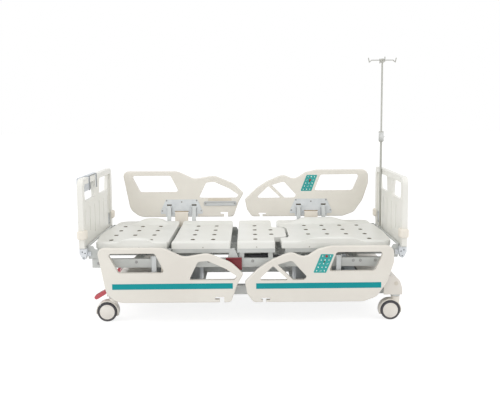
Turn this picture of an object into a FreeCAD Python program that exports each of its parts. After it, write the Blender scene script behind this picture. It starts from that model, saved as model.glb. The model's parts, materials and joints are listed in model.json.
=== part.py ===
import FreeCAD
import Part
import math
import os
from FreeCAD import Vector

# Electric hospital bed, in millimetres.
# Origin: on the floor, at mid length and mid width. +X is the head end, -Y the near side, +Z is up.
# The bed stands at its lowest height, with the near side rails folded down and the far ones up.

os.makedirs("parts", exist_ok=True)

# Clearances
seat_gap = 0.3          # between two pieces that rest on each other
pin_clearance = 0.1     # radial, between a pin and its bore
slide_clearance = 1.0   # between the stages of a lifting column

# Overall places
board_x = 1015.0        # middle plane of the head and foot boards
deck_half_width = 445.0
panel_half_width = deck_half_width + 5.0

# Casters
wheel_radius = 62.5
wheel_width = 24.0
wheel_inner_offset = 14.0
tyre_thickness = 10.0
disc_bulge = 3.0
caster_trail = 36.0
caster_y = 403.0
foot_caster_x = -840.0
head_caster_x = 979.0
axle_radius = 7.0
hood_half_width = 12.0
hood_radius = 74.0
hood_neck_radius = 28.5
hood_top = 150.0
stem_radius = 14.0
stem_length = 50.0

# Base frame
base_tube_y = 330.0
base_tube_width = 50.0
base_bottom = 152.0
base_tube_height = 60.0
base_plate_thickness = 8.0
cross_tube_width = 50.0
socket_radius = 30.0
base_top = base_bottom + base_tube_height

# Brake bar and pedals
brake_bar_x = -893.0
brake_bar_z = 187.0
brake_bar_radius = 9.0
pedal_length = 60.0
pedal_width = 50.0
pedal_thickness = 26.0
pedal_drop_deg = 31.0

# Covers over the ends of the base
cover_half_width = 440.0
cover_top = 286.0
cover_skirt_bottom = 165.0
cover_wall = 4.0

# Control box
control_box_length = 76.0
control_box_gap = 6.0

# Lifting columns
foot_column_x = -450.0
head_column_x = 507.0
column_length = 327.0
column_width = 200.0
column_wall = 5.0
column_stage_top = 345.0
lift_pivot_z = 390.0
lift_pin_radius = 12.0
ear_thickness = 24.0
head_slot_travel = 22.0
head_slot_play = 2.5

# Deck frame
deck_tube_width = 30.0
deck_bottom = 354.0
deck_top = 410.0
deck_foot_end = 55.0 - board_x
deck_head_end = board_x - 115.0
inner_beam_y = 116.0
inner_beam_width = 20.0
inner_beam_bottom = 370.0
end_cross_x = board_x - 70.0
end_plate_y = deck_half_width - 41.0
end_plate_top = 455.0
end_bar_x = board_x - 20.0
end_bar_z = 485.0
end_bar_radius = 7.0

# Section frames and hinges
frame_tube_width = 24.0
frame_tube_height = 26.0
frame_top = 472.0
frame_tube_y = deck_half_width - 9.0
hinge_pin_radius = 6.0
thigh_hinge_x = -66.0
leg_hinge_x = -468.0
back_hinge_x = 280.0
hinge_z = frame_top - frame_tube_height / 2
lug_thickness = 7.0
roller_radius = 16.4
roller_x = 90.0 - board_x

# Lying surface panels
panel_top = 520.0
panel_floor = 503.0
panel_rim_width = 40.0
panel_wall = 8.0
panel_skin = 6.0
panel_edge_radius = 14.0
vent_length = 40.0
vent_width = 25.0
leg_panel_foot = 42.0 - board_x
leg_panel_head = -484.0
thigh_panel_foot = -455.0
thigh_panel_head = -82.0
seat_panel_foot = -38.0
seat_panel_head = 203.0
tongue_head = 290.0
tongue_half_width = 200.0
back_panel_foot = 244.7
back_panel_head = board_x - 45.0
recess_gap = 16.0
guard_height = 23.0
guard_run = 88.0

# Side rails
rail_thickness = 34.0
rail_inner_y = deck_half_width + 47.0
rail_edge = 6.0
rail_drop = 398.0
plate_thickness = 4.0
foot_rail_mid_x = -471.0
head_rail_mid_x = 510.0
arm_spacing = 94.0
arm_width = 30.0
arm_radius = 9.0
arm_pivot_y = deck_half_width + 13.0
arm_pivot_z = 421.0
arm_raised_deg = 85.0
link_drop = 45.0
link_width = 99.0
link_radius = 8.0
rail_pin_radius = 5.0
ear_plate = 5.0
ear_gap = 1.0
arm_length = rail_drop / (2 * math.sin(math.radians(arm_raised_deg)))
rail_pivot_y = arm_pivot_y + arm_length * math.cos(math.radians(arm_raised_deg))
rail_pivot_z = arm_pivot_z + rail_drop / 2

# Boards at the head and the foot
post_y = deck_half_width + 14.0
post_width = 56.0
post_thickness = 34.0
board_panel_thickness = 20.0
board_panel_offset = 6.0
board_top = 922.0
board_rail_height = 38.0
board_leg_bottom = 482.0
board_panel_bottom = 464.0
window_top = 884.0
window_bottom = 770.0
peg_radius = 10.0
peg_length = 56.0
peg_clearance = 0.1
groove_width = 9.0
groove_depth = 4.0
groove_top = 724.0
groove_spacing = 149.0
bumper_y = post_y + 31.0
bumper_inner_y = post_y - 7.0
bumper_inset = 5.0
bumper_z = 571.0
bumper_radius = 29.0
bumper_height = 54.0
bracket_bottom = 414.0

# Nurse control panel
nurse_mid_y = -180.0
nurse_half_width = 155.0
nurse_thickness = 36.0
nurse_bottom = 820.0
nurse_hook_y = 108.0
nurse_hook_width = 26.0
hook_sheet = 3.0

# Infusion pole
pole_x = board_x - 26.5
pole_y = 225.0
pole_lower_radius = 8.0
pole_upper_radius = 6.0
pole_bottom = 456.0
pole_joint_z = 1115.0
collar_height = 75.0
collar_radius = 17.0
pole_top = 1690.0
pole_hidden_length = 60.0
pole_clearance = 0.1
hook_reach = 98.0
hook_wire_radius = 3.0
socket_wall = 4.0

# Actuators under the lying surface
actuator_tube_radius = 20.0
rod_radius = 10.0
rod_clearance = 0.3
actuator_pin_radius = 6.0
back_drive_y = 190.0
back_drive_drop = 98.0
back_lever_deg = -33.7
back_slot_outer = 123.0
back_slot_half_width = 11.0
knee_drive_y = -190.0
knee_drive_drop = 90.0
knee_lever_deg = 17.5
knee_slot_outer = 96.0
knee_slot_half_width = 7.5

# CPR release and conduit
cpr_pivot_y = deck_half_width + 16.0
cpr_foot_x = -111.0
cpr_head_x = -9.0
cpr_top = 412.0
cpr_height = 74.0
cpr_thickness = 4.0
conduit_radius = 9.0
conduit_start_x = 40.0
conduit_end_x = 256.0
conduit_y = 27.0 - deck_half_width


# Helpers
def box(x0, x1, y0, y1, z0, z1):
    """A block between two corners."""
    return Part.makeBox(x1 - x0, y1 - y0, z1 - z0, Vector(x0, y0, z0))


def sides(half, width):
    """The two spans of a piece that stands once at +half and once at -half."""
    return [(half - width / 2, half + width / 2), (-half - width / 2, -half + width / 2)]


def fuse(shapes):
    """Shapes welded into one solid, with their shared faces merged."""
    return shapes[0].multiFuse(shapes[1:]).removeSplitter()


def rounded_outline(points, place):
    """Closed wire through corner points (u, v, radius), each corner rounded by an arc."""
    edges = []
    starts = []
    ends = []
    count = len(points)
    for i, (u, v, radius) in enumerate(points):
        corner = Vector(u, v, 0)
        before = Vector(points[i - 1][0], points[i - 1][1], 0)
        after = Vector(points[(i + 1) % count][0], points[(i + 1) % count][1], 0)
        to_before = (before - corner).normalize()
        to_after = (after - corner).normalize()
        half = to_before.getAngle(to_after) / 2
        reach = radius / math.tan(half)
        starts.append(corner + to_before * reach)
        ends.append(corner + to_after * reach)
        if radius > 0:
            inward = (to_before + to_after).normalize()
            middle = corner + inward * (radius / math.sin(half) - radius)
            arc = Part.Arc(place(starts[-1]), place(middle), place(ends[-1]))
            edges.append(arc.toShape())
    for i in range(count):
        first = ends[i]
        second = starts[(i + 1) % count]
        if (second - first).Length > 1e-6:
            edges.append(Part.LineSegment(place(first), place(second)).toShape())
    return Part.Wire(Part.__sortEdges__(edges))


def slab_xz(points, y0, y1):
    """A plate with an outline in X and Z, from y0 to y1."""
    wire = rounded_outline(points, lambda p: Vector(p.x, y0, p.y))
    return Part.Face(wire).extrude(Vector(0, y1 - y0, 0))


def slab_yz(points, x0, x1):
    """A plate with an outline in Y and Z, from x0 to x1."""
    wire = rounded_outline(points, lambda p: Vector(x0, p.x, p.y))
    return Part.Face(wire).extrude(Vector(x1 - x0, 0, 0))


def slab_xy(points, z0, z1):
    """A plate with an outline in X and Y, from z0 to z1."""
    wire = rounded_outline(points, lambda p: Vector(p.x, p.y, z0))
    return Part.Face(wire).extrude(Vector(0, 0, z1 - z0))


def rod_y(x, z, radius, y0, y1):
    """A round bar along Y."""
    return Part.makeCylinder(radius, y1 - y0, Vector(x, y0, z), Vector(0, 1, 0))


def rod_x(y, z, radius, x0, x1):
    """A round bar along X."""
    return Part.makeCylinder(radius, x1 - x0, Vector(x0, y, z), Vector(1, 0, 0))


def rod_z(x, y, radius, z0, z1):
    """A round bar along Z."""
    return Part.makeCylinder(radius, z1 - z0, Vector(x, y, z0))


def capsule(first, second, radius, place, depth):
    """A bar with two round ends between two points of a plane, extruded by a vector."""
    run = Vector(second[0] - first[0], second[1] - first[1], 0)
    along = Vector(run).normalize()
    across = Vector(-along.y, along.x, 0) * radius
    a = Vector(first[0], first[1], 0)
    b = Vector(second[0], second[1], 0)
    edges = [
        Part.LineSegment(place(a + across), place(b + across)).toShape(),
        Part.Arc(place(b + across), place(b + along * radius), place(b - across)).toShape(),
        Part.LineSegment(place(b - across), place(a - across)).toShape(),
        Part.Arc(place(a - across), place(a - along * radius), place(a + across)).toShape(),
    ]
    return Part.Face(Part.Wire(edges)).extrude(depth)


def mirrored(shape):
    """The same piece for the other side of the bed."""
    return shape.mirror(Vector(0, 0, 0), Vector(0, 1, 0))


def both_sides(shape):
    """A piece and its mirror image across the bed."""
    return [shape, mirrored(shape)]


nodes = {}


# Casters: a hood on a swivel stem, with a wheel at each side of it.
def caster_hood(x, y):
    wheel_x = x - caster_trail
    body = rod_y(wheel_x, wheel_radius, hood_radius, y - hood_half_width, y + hood_half_width)
    below = box(wheel_x - 2 * hood_radius, wheel_x + 2 * hood_radius, y - 40, y + 40, -40, wheel_radius - 22)
    body = body.cut(below)
    neck = rod_z(x, y, hood_neck_radius, wheel_radius + 35, hood_top)
    room = rod_y(wheel_x, wheel_radius, wheel_radius + 4, y + hood_half_width + 0.5, y + 60)
    room = room.fuse(rod_y(wheel_x, wheel_radius, wheel_radius + 4, y - 60, y - hood_half_width - 0.5))
    neck = neck.cut(room)
    stem = rod_z(x, y, stem_radius, hood_top, hood_top + stem_length)
    axle_half = wheel_inner_offset + wheel_width - 3
    axle = rod_y(wheel_x, wheel_radius, axle_radius, y - axle_half, y + axle_half)
    return fuse([body, neck, stem, axle])


def caster_tyres(x, y):
    tyres = []
    for side in (1, -1):
        centre = y + side * (wheel_inner_offset + wheel_width / 2)
        y0 = centre - wheel_width / 2
        tyre = rod_y(x, wheel_radius, wheel_radius, y0, y0 + wheel_width)
        tyre = tyre.makeFillet(4.0, [e for e in tyre.Edges if e.Closed])
        hole = rod_y(x, wheel_radius, wheel_radius - tyre_thickness, y0, y0 + wheel_width)
        tyres.append(tyre.cut(hole))
    return Part.Compound(tyres)


def caster_discs(x, y):
    discs = []
    disc_radius = wheel_radius - tyre_thickness
    for side in (1, -1):
        inner = y + side * wheel_inner_offset
        outer = y + side * (wheel_inner_offset + wheel_width - 1)
        disc = rod_y(x, wheel_radius, disc_radius, min(inner, outer), max(inner, outer))
        bore_end = y + side * (wheel_inner_offset + wheel_width - 3 + seat_gap)
        bore_radius = axle_radius + pin_clearance
        bore = rod_y(x, wheel_radius, bore_radius, min(inner, bore_end), max(inner, bore_end))
        rise = Part.makeCone(disc_radius - 6, disc_radius - 16, disc_bulge,
                             Vector(x, outer, wheel_radius), Vector(0, side, 0))
        discs.append(disc.fuse(rise).cut(bore).removeSplitter())
    return Part.Compound(discs)


corners = {
    "near_foot": (foot_caster_x, -caster_y),
    "far_foot": (foot_caster_x, caster_y),
    "near_head": (head_caster_x, -caster_y),
    "far_head": (head_caster_x, caster_y),
}
for corner, (x, y) in corners.items():
    nodes["caster_hood_" + corner] = caster_hood(x, y)
    nodes["caster_tyres_" + corner] = caster_tyres(x - caster_trail, y)
    nodes["caster_discs_" + corner] = caster_discs(x - caster_trail, y)


# Base frame: two long tubes, two cross tubes with the caster sockets, and the plates of the columns.
def base_frame():
    pieces = []
    tube_foot = foot_caster_x - cross_tube_width / 2
    tube_head = head_caster_x + cross_tube_width / 2
    for y0, y1 in sides(base_tube_y, base_tube_width):
        pieces.append(box(tube_foot, tube_head, y0, y1, base_bottom, base_top))
    for x in (foot_caster_x, head_caster_x):
        x0 = x - cross_tube_width / 2
        x1 = x + cross_tube_width / 2
        pieces.append(box(x0, x1, -caster_y, caster_y, base_bottom, base_top))
        for y in (-caster_y, caster_y):
            pieces.append(rod_z(x, y, socket_radius, base_bottom, base_top))
    for x in (foot_column_x, head_column_x):
        half = column_length / 2 + 15
        plate_top = base_bottom + base_plate_thickness
        pieces.append(box(x - half, x + half, -base_tube_y, base_tube_y, base_bottom, plate_top))
    for y in (-250.0, 250.0):
        lug = slab_xz([(brake_bar_x - 15, brake_bar_z - 15, 14), (tube_foot + 5, base_bottom, 0),
                       (tube_foot + 5, base_top, 0), (brake_bar_x - 15, brake_bar_z + 15, 14)],
                      y - 8, y + 8)
        pieces.append(lug)
    frame = fuse(pieces)
    for x in (foot_caster_x, head_caster_x):
        for y in (-caster_y, caster_y):
            bore = rod_z(x, y, stem_radius + pin_clearance, base_bottom - 1, hood_top + stem_length + 1)
            frame = frame.cut(bore)
    bar_hole = rod_y(brake_bar_x, brake_bar_z, brake_bar_radius + pin_clearance, -300, 300)
    return frame.cut(bar_hole)


nodes["base_frame"] = base_frame()


# Brake bar: a round bar across the foot end, with a pedal at each end.
def brake_pedals():
    bar_end = caster_y + pedal_width / 2
    bar = rod_y(brake_bar_x, brake_bar_z, brake_bar_radius, -bar_end, bar_end)
    drop = math.radians(pedal_drop_deg)
    tip = (brake_bar_x - pedal_length * math.cos(drop), brake_bar_z - pedal_length * math.sin(drop))
    pieces = [bar]
    for y0, y1 in sides(caster_y, pedal_width):
        place = lambda p, y=y0: Vector(p.x, y, p.y)
        start = (brake_bar_x, brake_bar_z)
        pieces.append(capsule(start, tip, pedal_thickness / 2, place, Vector(0, y1 - y0, 0)))
    return fuse(pieces)


nodes["brake_pedals"] = brake_pedals()


# Covers: one moulded hood over each end of the base, open below.
def base_cover(outer_x, sign, inner_x, nose, skirt_length):
    """Profile from the skirt at the bed's end, up over the nose and along the flat top to the column."""
    inward = -sign

    def profile(shift):
        opening = 2 if shift else 0
        low = cover_skirt_bottom - opening
        ledge = base_top + seat_gap - opening
        points = [(outer_x + inward * shift, low, 0)]
        for distance, z, radius in nose:
            points.append((outer_x + inward * (distance + shift), z - shift, radius))
        points.append((inner_x - inward * shift, cover_top - shift, 0))
        points.append((inner_x - inward * shift, ledge, 0))
        points.append((outer_x + inward * (skirt_length + opening), ledge, 0))
        points.append((outer_x + inward * (skirt_length + opening), low, 0))
        return points

    outer = slab_xz(profile(0), -cover_half_width, cover_half_width)
    inside = cover_half_width - cover_wall
    cover = outer.cut(slab_xz(profile(cover_wall), -inside, inside))
    low = base_bottom - 1
    for y0, y1 in sides(base_tube_y, base_tube_width + 2):
        notch = box(min(outer_x, inner_x) + 20, max(outer_x, inner_x) - 20, y0, y1, low, base_top + seat_gap)
        cover = cover.cut(notch)
    if sign < 0:
        for y in (-250.0, 250.0):
            cover = cover.cut(box(outer_x - 5, outer_x + 40, y - 9, y + 9, low, base_top + seat_gap))
    return cover


foot_cover_inner = foot_column_x - column_length / 2 - 8
head_cover_inner = head_column_x + column_length / 2 + 2 * control_box_gap + control_box_length
foot_cover_outer = foot_caster_x - socket_radius - cover_wall - 1
head_cover_outer = head_caster_x + socket_radius + cover_wall + 4
foot_nose = [(0, 216, 12), (100, cover_top, 40)]
head_nose = [(0, 206, 12), (15, 254, 16), (40, 278, 12), (80, cover_top, 20)]
nodes["base_covers"] = Part.Compound([
    base_cover(foot_cover_outer, -1, foot_cover_inner, foot_nose, 73),
    base_cover(head_cover_outer, 1, head_cover_inner, head_nose, 119),
])


# Control box: a flat housing that rests on the two base tubes beside the head column.
def control_box():
    x0 = head_column_x + column_length / 2 + control_box_gap
    x1 = x0 + control_box_length
    half = base_tube_y + base_tube_width / 2
    body = slab_xz([(x0, base_top + seat_gap, 3), (x1, base_top + seat_gap, 3),
                    (x1, cover_top - 2, 8), (x0, cover_top - 2, 8)], -half, half)
    inlet = rod_z((x0 + x1) / 2, 0, 12, base_top - 12, base_top + 5)
    return fuse([body, inlet])


nodes["control_box"] = control_box()


# Lifting columns: three nested stages each, with bearing ears on the innermost one.
def column_stage(x, shrink, z0, z1, closed_top):
    half_x = column_length / 2 - shrink
    half_y = column_width / 2 - shrink
    radius = 18.0 - shrink
    points = [(x - half_x, -half_y, radius), (x + half_x, -half_y, radius),
              (x + half_x, half_y, radius), (x - half_x, half_y, radius)]
    inner_x = half_x - column_wall
    inner_y = half_y - column_wall
    inner_radius = radius - column_wall
    hollow = [(x - inner_x, -inner_y, inner_radius), (x + inner_x, -inner_y, inner_radius),
              (x + inner_x, inner_y, inner_radius), (x - inner_x, inner_y, inner_radius)]
    shell = slab_xy(points, z0, z1)
    cut_top = z1 - 12 if closed_top else z1 + 1
    return shell.cut(slab_xy(hollow, z0 - 1, cut_top))


column_floor = base_bottom + base_plate_thickness + seat_gap
stage_step = column_wall + slide_clearance
inner_top = column_stage_top + 14
nodes["column_outers"] = Part.Compound([
    column_stage(foot_column_x, 0, column_floor, column_stage_top, False),
    column_stage(head_column_x, 0, column_floor, column_stage_top, False),
])


def column_inner(x, slot):
    """The top stage: its closed top carries two ears for the lift pin."""
    stage = column_stage(x, 2 * stage_step, column_floor + 2, inner_top, True)
    ear_y = column_width / 2 - 2 * stage_step - ear_thickness
    reach = lift_pin_radius + 10
    pieces = [stage]
    for y0 in (ear_y, -ear_y - ear_thickness):
        ear = slab_xz([(x - reach - slot, inner_top - 2, 0), (x + reach, inner_top - 2, 0),
                       (x + reach, lift_pivot_z + reach - 4, 12), (x - reach - slot, lift_pivot_z + reach - 4, 12)],
                      y0, y0 + ear_thickness)
        pieces.append(ear)
    column = fuse(pieces)
    if slot == 0:
        hole = rod_y(x, lift_pivot_z, lift_pin_radius, -column_width, column_width)
    else:
        place = lambda p: Vector(p.x, -column_width, p.y)
        radius = lift_pin_radius + head_slot_play
        hole = capsule((x - slot, lift_pivot_z), (x, lift_pivot_z), radius, place, Vector(0, 2 * column_width, 0))
    return column.cut(hole)


for end, x, slot in (("foot", foot_column_x, 0), ("head", head_column_x, head_slot_travel)):
    nodes[end + "_column_middle"] = column_stage(x, stage_step, column_floor + 1, column_stage_top + 5, False)
    nodes[end + "_column_inner"] = column_inner(x, slot)

pin_reach = inner_beam_y + inner_beam_width / 2
nodes["foot_pivot_pin"] = rod_y(foot_column_x, lift_pivot_z, lift_pin_radius - pin_clearance, -pin_reach, pin_reach)


# Deck frame: side tubes, inner beams, cross tubes and end bars, with all its hinge brackets.
def rail_bracket(x, half_gap, pivot_z):
    """Two ears with a pin between them, welded to the outer face of the side tube."""
    pieces = []
    wall = deck_half_width - 1
    for side in (1, -1):
        inner = x + side * (half_gap + ear_gap)
        outer = inner + side * ear_plate
        x0 = min(inner, outer)
        ear = box(x0, x0 + ear_plate, wall, arm_pivot_y, min(pivot_z, deck_top) - 20, pivot_z + 10)
        pieces.append(ear)
        pieces.append(rod_x(arm_pivot_y, pivot_z, 10, x0, x0 + ear_plate))
    pin_half = half_gap + ear_gap + ear_plate
    pieces.append(rod_x(arm_pivot_y, pivot_z, rail_pin_radius, x - pin_half, x + pin_half))
    return pieces


def deck_frame():
    pieces = []
    tube_y = deck_half_width - deck_tube_width / 2
    for y0, y1 in sides(tube_y, deck_tube_width):
        pieces.append(slab_xz([(deck_foot_end, deck_bottom, 0), (deck_head_end - 50, deck_bottom, 0),
                               (deck_head_end, deck_top - 28, 0), (end_cross_x + 15, deck_top - 28, 0),
                               (end_cross_x + 15, deck_top, 0), (deck_foot_end, deck_top, 0)], y0, y1))
    for y0, y1 in sides(inner_beam_y, inner_beam_width):
        pieces.append(box(deck_foot_end, end_cross_x, y0, y1, inner_beam_bottom, deck_top))
    for x in (-680.0, -220.0, 724.0):
        pieces.append(box(x - 15, x + 15, -tube_y, tube_y, inner_beam_bottom, deck_top))
    pieces.append(box(200, 230, -tube_y, inner_beam_y, deck_bottom, deck_top - 12))
    for sign in (-1, 1):
        x = sign * end_cross_x
        cross_half = deck_half_width - deck_tube_width
        pieces.append(box(x - 15, x + 15, -cross_half, cross_half, deck_top - 28, end_plate_top - 20))
        low = end_plate_top - 25
        for y0, y1 in sides(end_plate_y, 18):
            plate = slab_xz([(x - sign * 14, low, 0), (sign * (end_bar_x + 7), low, 0),
                             (sign * (end_bar_x + 7), end_bar_z + 7, 5),
                             (sign * (end_bar_x - 13), end_bar_z + 7, 5),
                             (sign * (end_bar_x - 17), end_plate_top, 0), (x - sign * 14, end_plate_top, 0)], y0, y1)
            pieces.append(plate)
        bar_half = end_plate_y + 9
        pieces.append(rod_y(sign * end_bar_x, end_bar_z, end_bar_radius, -bar_half, bar_half))

    rail_y0 = frame_tube_y - frame_tube_width / 2
    rail_y1 = frame_tube_y + frame_tube_width / 2
    side_brackets = []
    side_brackets.append(box(seat_panel_foot, seat_panel_head, rail_y0, rail_y1, frame_top - frame_tube_height,
                             frame_top))
    for x in (seat_panel_foot + 14, seat_panel_head - 44):
        side_brackets.append(box(x, x + 30, rail_y0 + 4, rail_y1 - 6, deck_top - 2, frame_top - 2))
    hinge_y = deck_half_width + 4.5
    side_brackets.append(box(thigh_hinge_x - 40, thigh_hinge_x + 40, deck_half_width - 2, hinge_y + 4,
                             deck_bottom + 20, deck_top - 2))
    side_brackets.append(slab_xz([(thigh_hinge_x - 40, deck_top - 6, 0), (thigh_hinge_x + 40, deck_top - 6, 0),
                                  (thigh_hinge_x + 12, frame_top - 1, 10), (thigh_hinge_x - 12, frame_top - 1, 10)],
                                 hinge_y, hinge_y + 4))
    side_brackets.append(rod_y(thigh_hinge_x, hinge_z, hinge_pin_radius, rail_y0, hinge_y + 4))
    for mid in (foot_rail_mid_x, head_rail_mid_x):
        for offset in (-arm_spacing, arm_spacing):
            side_brackets += rail_bracket(mid + offset, arm_width / 2, arm_pivot_z)
        side_brackets += rail_bracket(mid, link_width / 2, arm_pivot_z - link_drop)
    for shape in side_brackets:
        pieces += both_sides(shape)
    cpr_pin_y = -cpr_pivot_y
    for x in (cpr_foot_x - 4, cpr_head_x + 1):
        pieces.append(box(x, x + 3, cpr_pin_y - 5, -deck_half_width + 2, cpr_top - 8, cpr_top + 5))
    pieces.append(rod_x(cpr_pin_y, cpr_top, 3, cpr_foot_x - 4, cpr_head_x + 4))

    socket = pole_lower_radius + socket_wall
    pieces.append(rod_z(pole_x, pole_y, socket, pole_bottom - 16, pole_bottom + 48))
    pieces.append(box(end_cross_x, pole_x, pole_y - 10, pole_y + 10, end_plate_top - 30, end_plate_top - 10))
    pieces.append(rod_y(head_column_x, lift_pivot_z, lift_pin_radius, -inner_beam_y, inner_beam_y))
    clevis_top = deck_top - 20
    pieces.append(box(-220, -196, back_drive_y - 20, back_drive_y + 20, deck_bottom - 8, clevis_top))
    frame = fuse(pieces)
    pin_hole = rod_y(foot_column_x, lift_pivot_z, lift_pin_radius, -pin_reach - 1, pin_reach + 1)
    pole_hole = rod_z(pole_x, pole_y, pole_lower_radius + pole_clearance, pole_bottom - seat_gap,
                     pole_bottom + 100)
    return frame.cut(pin_hole).cut(pole_hole)


nodes["deck_frame"] = deck_frame()


# Corner brackets: castings on the end plates, each with a bore for the peg of a board.
def corner_bracket(sign):
    x = sign * board_x
    plate_face = end_plate_y + 9 + seat_gap
    top = board_leg_bottom - seat_gap
    block = slab_xz([(x + sign * 15, top, 0), (x - sign * 32, top, 0), (x - sign * 32, top - 30, 8),
                     (x - sign * 22, bracket_bottom, 7), (x - sign * 4, bracket_bottom, 7),
                     (x + sign * 15, top - 30, 12)], post_y - 24, post_y + 24)
    for hole_x, hole_z in ((x - sign * 2, top - 18), (x - sign * 20, top - 26), (x - sign * 12, top - 56)):
        block = block.cut(rod_y(hole_x, hole_z, 4, post_y + 18, post_y + 25))
    inner = end_cross_x + 20
    outboard = x - sign * 8
    arm = box(min(sign * inner, outboard), max(sign * inner, outboard), plate_face, post_y - 10,
              end_plate_top - 25, end_plate_top + 5)
    bracket = fuse([block, arm])
    return bracket.cut(rod_z(x, post_y, peg_radius + peg_clearance, board_leg_bottom - peg_length - 2, top + 1))


nodes["corner_brackets"] = Part.Compound(both_sides(corner_bracket(1)) + both_sides(corner_bracket(-1)))


# Lying surface: open trays with raised side rims around a lower floor, and oval vents in the floor.
def tray(outline, vents):
    low = frame_top + seat_gap
    outer = slab_xy(outline, low, panel_top)
    rim = [e for e in outer.Edges if abs(e.BoundBox.ZMin - panel_top) < 0.01]
    outer = outer.makeFillet(panel_edge_radius, rim)
    floor_half = panel_half_width - panel_rim_width - 34
    slope_half = panel_half_width - panel_rim_width + 18
    valley = slab_yz([(-floor_half, panel_floor, 40), (floor_half, panel_floor, 40),
                      (slope_half, panel_top + 2, 0), (slope_half, panel_top + 20, 0),
                      (-slope_half, panel_top + 20, 0), (-slope_half, panel_top + 2, 0)], -board_x, board_x)
    outer = outer.cut(valley)
    wire = Part.Wire(Part.__sortEdges__([e for e in slab_xy(outline, 0, 1).Faces[-1].Edges]))
    inset = wire.makeOffset2D(-panel_wall)
    inset.translate(Vector(0, 0, low - 1 - inset.BoundBox.ZMin))
    hollow = Part.Face(inset).extrude(Vector(0, 0, panel_floor - panel_skin - low + 1))
    shell = outer.cut(hollow)
    place = lambda p: Vector(p.x, p.y, panel_floor - 20)
    half = (vent_length - vent_width) / 2
    slots = [capsule((x, y - half), (x, y + half), vent_width / 2, place, Vector(0, 0, 30)) for x, y in vents]
    return shell.cut(Part.Compound(slots))


def vent_rows(columns, rows):
    """Vents at the crossings of the given columns and rows."""
    return [(x, y) for x in columns for y in rows]


def guard(mid_x, half_length):
    """A long low bulge of the rim that keeps the mattress in place, blended in at both ends."""
    low = panel_floor - 3
    crest = panel_top + guard_height
    lens = slab_xz([(mid_x - half_length, low, 0), (mid_x - half_length * 0.7, low + 10, 160),
                    (mid_x - half_length * 0.33, crest, 190), (mid_x + half_length * 0.33, crest, 190),
                    (mid_x + half_length * 0.7, low + 10, 160), (mid_x + half_length, low, 0)],
                   panel_half_width - guard_run, panel_half_width)
    ridge = slab_yz([(panel_half_width - guard_run, low, 0), (panel_half_width - 32, crest, 36),
                     (panel_half_width, crest, panel_edge_radius), (panel_half_width, low, 0)],
                    mid_x - half_length, mid_x + half_length)
    return lens.common(ridge)


four_rows = (-281.0, -94.0, 94.0, 281.0)
half = panel_half_width
foot_curve = [(leg_panel_foot + 100, half, 60), (leg_panel_foot + 30, half - 45, 60),
              (leg_panel_foot, 120, 260), (leg_panel_foot, -120, 260),
              (leg_panel_foot + 30, 45 - half, 60), (leg_panel_foot + 100, -half, 60)]
leg_outline = [(leg_panel_head, -half, 12), (leg_panel_head, half, 12)] + foot_curve
leg_panel = tray(leg_outline, vent_rows((-607.0, -738.0, -866.0), four_rows))
nodes["leg_panel"] = fuse([leg_panel] + both_sides(guard(-685.0, 170.0)))

thigh_outline = [(thigh_panel_foot, -half, 12), (thigh_panel_head, -half, 12),
                 (thigh_panel_head, half, 12), (thigh_panel_foot, half, 12)]
nodes["thigh_panel"] = tray(thigh_outline, vent_rows((-331.0, -198.0), four_rows))

tongue = tongue_half_width
seat_outline = [(seat_panel_foot, -half, 12), (seat_panel_head, -half, 12), (seat_panel_head, -tongue - 14, 12),
                (tongue_head - 14, -tongue, 30), (tongue_head, -tongue + 60, 30),
                (tongue_head, tongue - 60, 30), (tongue_head - 14, tongue, 30),
                (seat_panel_head, tongue + 14, 12), (seat_panel_head, half, 12), (seat_panel_foot, half, 12)]
nodes["seat_panel"] = tray(seat_outline, vent_rows((79.0,), four_rows) + vent_rows((190.0,), (-92.0, 92.0)))

recess = tongue + recess_gap
recess_x = tongue_head + recess_gap
back_outline = [(back_panel_foot, -half, 12), (back_panel_head - 48, -half, 60), (back_panel_head - 10, -320, 130),
                (back_panel_head, 0, 600), (back_panel_head - 10, 320, 130), (back_panel_head - 48, half, 60),
                (back_panel_foot, half, 12), (back_panel_foot, recess + 16, 30),
                (recess_x - 12, recess + 4, 30), (recess_x, recess - 60, 30),
                (recess_x, -recess + 60, 30), (recess_x - 12, -recess - 4, 30), (back_panel_foot, -recess - 16, 30)]
back_vents = vent_rows((441.0, 570.0, 700.0, 827.0), four_rows)
back_panel = tray(back_outline, back_vents)
nodes["back_panel"] = fuse([back_panel] + both_sides(guard(562.0, 310.0)))


# Frames under the moving sections.
def side_tubes(x0, x1):
    tubes = []
    for y0, y1 in sides(frame_tube_y, frame_tube_width):
        tubes.append(box(x0, x1, y0, y1, frame_top - frame_tube_height, frame_top))
    return tubes


def frame_cross(x0, x1):
    half_y = frame_tube_y - 2
    return box(x0, x1, -half_y, half_y, frame_top - frame_tube_height, frame_top)


def lug_and_pin(hinge_x, x_end):
    """An inner lug with the hinge pin that enters the bore of the next frame."""
    lug_y1 = frame_tube_y - frame_tube_width / 2 - 1
    lug_y0 = lug_y1 - lug_thickness
    place = lambda p: Vector(p.x, lug_y0, p.y)
    lug = capsule((hinge_x, hinge_z), (x_end, hinge_z), 11, place, Vector(0, lug_thickness, 0))
    pin = rod_y(hinge_x, hinge_z, hinge_pin_radius, lug_y0, frame_tube_y + frame_tube_width / 2)
    return both_sides(lug) + both_sides(pin)


def cut_hinge_bores(frame, hinge_x):
    bore = rod_y(hinge_x, hinge_z, hinge_pin_radius + pin_clearance, -panel_half_width - 5, panel_half_width + 5)
    return frame.cut(bore)


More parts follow.
